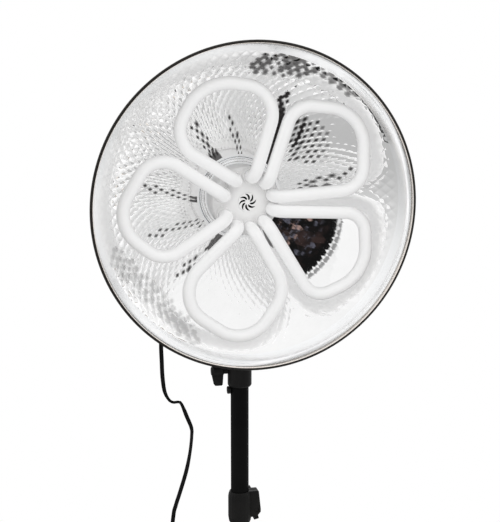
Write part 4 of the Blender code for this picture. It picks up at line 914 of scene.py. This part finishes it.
def turnRings(shape, profile, segments, finishIndex, closed=False, centre=headOrigin):
    # rings of (radius, depth) round the head's axis, or round a line beside it
    rings = []
    for radius, depth in profile:
        rings.append([shape.verts.new(headPoint(2 * math.pi * k / segments, radius, depth, centre))
                      for k in range(segments)])
    pairs = list(zip(rings, rings[1:]))
    if closed:
        pairs.append((rings[-1], rings[0]))
    for near, far in pairs:
        for k in range(segments):
            face = shape.faces.new((near[k], near[(k + 1) % segments], far[(k + 1) % segments], far[k]))
            face.material_index = finishIndex
            face.smooth = True
    return rings


def makeReflector(s):
    hammered, plain, paint, rim = range(4)
    finishes = (hammeredMetal, plainMetal, outerPaint, rimMetal)
    table = rowStations(s)
    shape = bmesh.new()
    segments = 2 * s["cellsRound"]
    bead, sheet, neck, deep = s["bead"], s["sheet"], s["neck"], s["deep"]
    beadRadius = s["rim"] - bead
    lipInner, lipOuter = beadRadius - sheet / 2, beadRadius + sheet / 2
    neckTop = neck + s["neckRound"]
    neckEnd = deep + s["neckLength"]
    band = [lipInner - s["band"] * k / s["bandRows"] for k in range(s["bandRows"] + 1)]
    band = [(radius, bowlDepth(radius, s)) for radius in band]
    # metal seen from the front: lip, plain band, dimples, neck
    lipFoot = (lipInner - s["crease"][0], s["lipDepth"] - s["crease"][1])
    bandTop = (band[0][0] - s["bandStart"][0], band[0][1] + s["bandStart"][1])
    turnRings(shape, [(lipInner, bead), (lipInner, s["lipDepth"] - s["lipRound"]), lipFoot], segments, rim)
    turnRings(shape, [lipFoot, bandTop] + band[1:], segments, plain)
    dimpledShell(shape, s, table, s["fineFront"], 0.0, hammered)
    turnRings(shape, [(neckTop, bowlDepth(neckTop, s)), (neck + 0.0010, bowlDepth(neck + 0.0010, s)),
                      (neck, deep + 0.0010), (neck, neckEnd)], segments, plain)
    # painted outside, the same pattern pressed through
    pressed = []
    for radius, depth in band[1:]:
        normal = bowlNormal(0, radius, s)
        pressed.append((radius - normal.x * sheet, depth - normal.y * sheet))
    turnRings(shape, [(lipOuter, bead), (lipOuter, s["lipDepth"])] + pressed, segments, paint)
    dimpledShell(shape, s, table, s["fineBack"], -sheet, paint, inward=False)
    turnRings(shape, [(neckTop + sheet / 2, bowlDepth(neckTop, s) + 0.0010), (neck + sheet, deep + 0.0020),
                      (neck + sheet, neckEnd), (neck, neckEnd)], segments, paint)
    # rolled rim: bare metal towards the bowl, paint round the outside
    circle = [(beadRadius + x, bead + y) for x, y in circlePoints(bead, s["beadSides"])]
    rings = turnRings(shape, circle, segments, paint, closed=True)
    for k in range(*s["bareBead"]):
        nextRing = rings[(k + 1) % s["beadSides"]]
        for vert in rings[k]:
            for face in vert.link_faces:
                if all(corner in rings[k] or corner in nextRing for corner in face.verts):
                    face.material_index = rim
    addPiece("hammered_reflector", shape, "head", ["reflector"], finishes)


makeReflector(reflectorSettings)
print("reflector made")


# lamp: petal tubes, hub with its collars, vent, ballast and the stepped ring round it
lampPieces = {
    "tubeRadius": 0.0085,
    "tubeSides": 28,
    "petalDepth": 0.0360,
    "rootCircle": 0.0340,
    "rootBend": 0.0140,
    "crownBend": 0.0700,
    "bendPoints": 72,
    "tubeEnd": 0.0736,
    # angle of the first root, first corner, crown, second corner, second root, corner bend
    "petals": (
        (82, (75, 0.150), (111, 0.173), (141, 0.132), 120, 0.038),
        (48, (66, 0.139), (38, 0.190), (6, 0.150), 14, 0.031),
        (-17, (-6, 0.152), (-32, 0.184), (-57, 0.153), -50, 0.028),
        (-84, (-67, 0.124), (-91, 0.190), (-132, 0.159), -116, 0.044),
        (-150, (-148, 0.134), (-174, 0.180), (150, 0.143), 162, 0.034),
    ),
}


def polar(degrees, radius, depth):
    return headPoint(math.radians(degrees), radius, depth)


def roundedPath(corners, bends, pointsPerTurn):
    # straight runs between the corners, each corner rounded by an arc of its bend's radius
    path = [corners[0]]
    for before, corner, after, bend in zip(corners, corners[1:], corners[2:], bends):
        toBefore, toAfter = (before - corner).normalized(), (after - corner).normalized()
        half = toBefore.angle(toAfter) / 2
        # two arcs on one side never meet
        room = 0.49 * min((before - corner).length, (after - corner).length)
        reach = min(bend / math.tan(half), room)
        centre = corner + (toBefore + toAfter).normalized() * (reach / math.cos(half))
        first = corner + toBefore * reach - centre
        last = corner + toAfter * reach - centre
        sweepAngle = first.angle(last)
        axis = first.cross(last).normalized()
        steps = max(3, round(pointsPerTurn * sweepAngle / (2 * math.pi)))
        path += [centre + Matrix.Rotation(sweepAngle * k / steps, 3, axis) @ first for k in range(steps + 1)]
    path.append(corners[-1])
    return path


def makePetals(s):
    flat, rootCircle, tubeEnd = s["petalDepth"], s["rootCircle"], s["tubeEnd"]
    for number, (firstRoot, first, crown, second, secondRoot, bend) in enumerate(s["petals"], 1):
        corners = [polar(firstRoot, rootCircle, tubeEnd), polar(firstRoot, rootCircle, flat),
                   polar(*first, flat), polar(*crown, flat), polar(*second, flat),
                   polar(secondRoot, rootCircle, flat), polar(secondRoot, rootCircle, tubeEnd)]
        bends = [s["rootBend"], bend, s["crownBend"], bend, s["rootBend"]]
        path = roundedPath(corners, bends, s["bendPoints"])
        shape = bmesh.new()
        sweep(shape, path, circlePoints(s["tubeRadius"], s["tubeSides"]))
        addPiece("glass_petal_%d" % number, shape, "lamp", ["petal_tube_%d" % number],
                 [phosphorGlass], smoothAngle=50)


makePetals(lampPieces)

hubPieces = {
    "radius": 0.0445,
    "face": 0.0660,
    "back": 0.0795,
    "rimRound": 0.0030,
    "collarWall": 0.0018,
    "collarHeight": 0.0080,
    "collarSides": 40,
    # the dome rises from its foot to the vent's well, at this depth and radius, steeper towards the middle
    "bossFace": 0.0560,
    "wellRadius": 0.0128,
    "wellDepth": 0.0040,
    "domeFoot": 0.0330,
    "domePower": 2.4,
    "domeSteps": 12,
    "backRadius": 0.0200,
    "gap": 0.0003,
}


def hubProfile(s):
    well, boss, face, curve = s["wellRadius"], s["bossFace"], s["face"], s["rimRound"]
    radius, back = s["radius"], s["back"]
    profile = [(well - 0.0002, boss + s["wellDepth"]), (well - 0.0002, boss + 0.0002), (well, boss)]
    for k in range(1, s["domeSteps"] + 1):
        share = k / s["domeSteps"]
        profile.append((well + (s["domeFoot"] - well) * share,
                        boss + (face - boss) * share ** s["domePower"]))
    for k in range(6):
        angle = math.radians(90 * k / 5)
        profile.append((radius - curve + curve * math.sin(angle), face + curve - curve * math.cos(angle)))
    return profile + [(radius, back), (s["backRadius"], back)]


def makeHub(s, lamp):
    shape = bmesh.new()
    turnRings(shape, hubProfile(s), turnedSides, 0)
    # ten collars, each a short rounded sleeve round a tube's end: radius, and depth from the hub's face
    inner = lamp["tubeRadius"] + s["gap"]
    outer = inner + s["collarWall"]
    top = -s["collarHeight"]
    sleeve = [(inner, 0.0), (inner, top + 0.0003), (inner + 0.0004, top), (outer - 0.0006, top),
              (outer - 0.0001, top + 0.0006), (outer + 0.0002, -0.0012), (outer + 0.0012, 0.0)]
    for petal in lamp["petals"]:
        for root in (petal[0], petal[4]):
            turnRings(shape, sleeve, s["collarSides"], 0, centre=polar(root, lamp["rootCircle"], s["face"]))
    bmesh.ops.recalc_face_normals(shape, faces=shape.faces)
    addPiece("lamp_hub", shape, "lamp", ["tube_hub"], [whitePlastic], smoothAngle=40)


makeHub(hubPieces, lampPieces)

ventSettings = {
    "radius": 0.0125,
    "thick": 0.0016,
    "bevel": 0.0002,
    "backDepth": 0.0569,
    "slots": 8,
    "slotSteps": 10,
    "inner": 0.0029,
    "outer": 0.0117,
    "width": 0.0036,
    # how far a slot leans over on its way out, in degrees, how late, and where the first one starts
    "lean": 42,
    "leanPower": 1.5,
    "firstSlot": 0.4,
    # width at a slot's start and how fast it grows, and the least width at its round ends
    "taper": (0.72, 0.6),
    "endWidth": 0.05,
    # radius and depth of the black well behind the slots, a painted shade for the shadowed inside of the hub
    "well": ((0.0125, 0.0572), (0.0110, 0.0574), (0.0107, 0.0606), (0.0001, 0.0608)),
}


def ventSlot(k, s):
    # one curved slot, up one side and down the other, with round ends
    loop = []
    steps = s["slotSteps"]
    narrow, growth = s["taper"]
    for side, order in ((-1, range(steps + 1)), (1, range(steps, -1, -1))):
        for step in order:
            along = step / steps
            radius = s["inner"] + (s["outer"] - s["inner"]) * along
            turn = 360 / s["slots"] * (k + s["firstSlot"])
            lean = math.radians(turn + s["lean"] * along ** s["leanPower"])
            taper = min(1.0, narrow + growth * along)
            width = s["width"] / 2 * math.sqrt(max(s["endWidth"], 1 - (2 * along - 1) ** 4)) * taper
            loop.append((radius * math.cos(lean) - side * width * math.sin(lean),
                         radius * math.sin(lean) + side * width * math.cos(lean)))
    return loop


def makeVent(s):
    # a flat drawing with curved slots, filled and given its thickness
    drawing = bpy.data.curves.new("vent_drawing", "CURVE")
    drawing.dimensions = "2D"
    drawing.fill_mode = "BOTH"
    drawing.extrude = s["thick"] / 2 - s["bevel"]
    drawing.bevel_depth = s["bevel"]
    drawing.bevel_resolution = 1
    for points in [circlePoints(s["radius"] - s["bevel"], 72)] + [ventSlot(k, s) for k in range(s["slots"])]:
        spline = drawing.splines.new("POLY")
        spline.points.add(len(points) - 1)
        for point, (x, y) in zip(spline.points, points):
            point.co = (x, y, 0, 1)
        spline.use_cyclic_u = True
    holder = bpy.data.objects.new("vent_drawing", drawing)
    studio.collection.objects.link(holder)
    flat = bpy.data.meshes.new_from_object(holder.evaluated_get(bpy.context.evaluated_depsgraph_get()))
    bpy.data.objects.remove(holder, do_unlink=True)
    shape = bmesh.new()
    shape.from_mesh(flat)
    seat = Matrix.Translation(headOrigin + Vector((0, s["backDepth"] - s["thick"] / 2, 0)))
    bmesh.ops.transform(shape, matrix=seat @ Matrix.Rotation(math.pi / 2, 4, "X"), verts=shape.verts)
    addPiece("swirl_vent", shape, "lamp", ["vent_cap"], [whitePlastic], smoothAngle=30)
    # a black cup behind the slots, as painted shade for the inside of the hub
    well = bmesh.new()
    turnRings(well, s["well"], turnedSides // 2, 0)
    addPiece("vent_well", well, "lamp", finishes=[blackPlastic])


makeVent(ventSettings)


def makeTurned(name, profile, body, replaced, finish):
    shape = bmesh.new()
    turnRings(shape, profile, turnedSides, 0, closed=True)
    bmesh.ops.recalc_face_normals(shape, faces=shape.faces)
    addPiece(name, shape, body, [replaced], [finish], smoothAngle=35)


ringSettings = {"outer": 0.0521, "inner": 0.0440, "front": 0.1060, "step": 0.0018, "back": 0.1225}


def ringProfile(s):
    # a rounded bead at the mouth, then a flat step with a rounded outer edge
    inner, outer, front = s["inner"], s["outer"], s["front"]
    step = front + s["step"]
    return [(inner, step), (inner + 0.0004, front + 0.0006), (inner + 0.0012, front), (inner + 0.0026, front),
            (inner + 0.0032, front + 0.0005), (inner + 0.0035, front + 0.0015), (inner + 0.0040, step),
            (outer - 0.0022, step), (outer - 0.0017, step + 0.0005), (outer - 0.0014, step + 0.0014),
            (outer - 0.0004, step + 0.0016), (outer, step + 0.0022), (outer, s["back"]), (inner, s["back"])]


makeTurned("stepped_ring", ringProfile(ringSettings), "head", "neck_ring", plainMetal)

ballastSettings = {
    "radius": 0.0430,
    "front": 0.0798,
    "groove": 0.0960,
    "grooveDeep": 0.0006,
    "shoulder": 0.1650,
    "back": 0.2020,
    "wall": 0.0020,
    "shank": 0.0150,
    "bore": 0.0125,
}


def ballastProfile(s):
    # a straight shell with one shallow groove, a cone from the shoulder and a short shank at the back
    radius, groove, deep, shoulder = s["radius"], s["groove"], s["grooveDeep"], s["shoulder"]
    back, shank, bore, inner = s["back"], s["shank"], s["bore"], s["radius"] - s["wall"]
    return [(inner, s["front"]), (radius - 0.0005, s["front"]), (radius, s["front"] + 0.0006),
            (radius, groove), (radius - deep, groove + deep), (radius - deep, groove + 0.0014),
            (radius, groove + 0.0020), (radius, shoulder - 0.0030), (radius - 0.0012, shoulder),
            (0.0265, back - 0.0080), (0.0240, back - 0.0068), (shank + 0.0010, back - 0.0045),
            (shank, back - 0.0035), (shank, back), (bore, back), (bore, back - 0.0060),
            (0.0230, back - 0.0090), (inner, shoulder - 0.0010)]


makeTurned("ballast_shell", ballastProfile(ballastSettings), "lamp", "ballast_housing",
           whitePlastic)
print("lamp made")
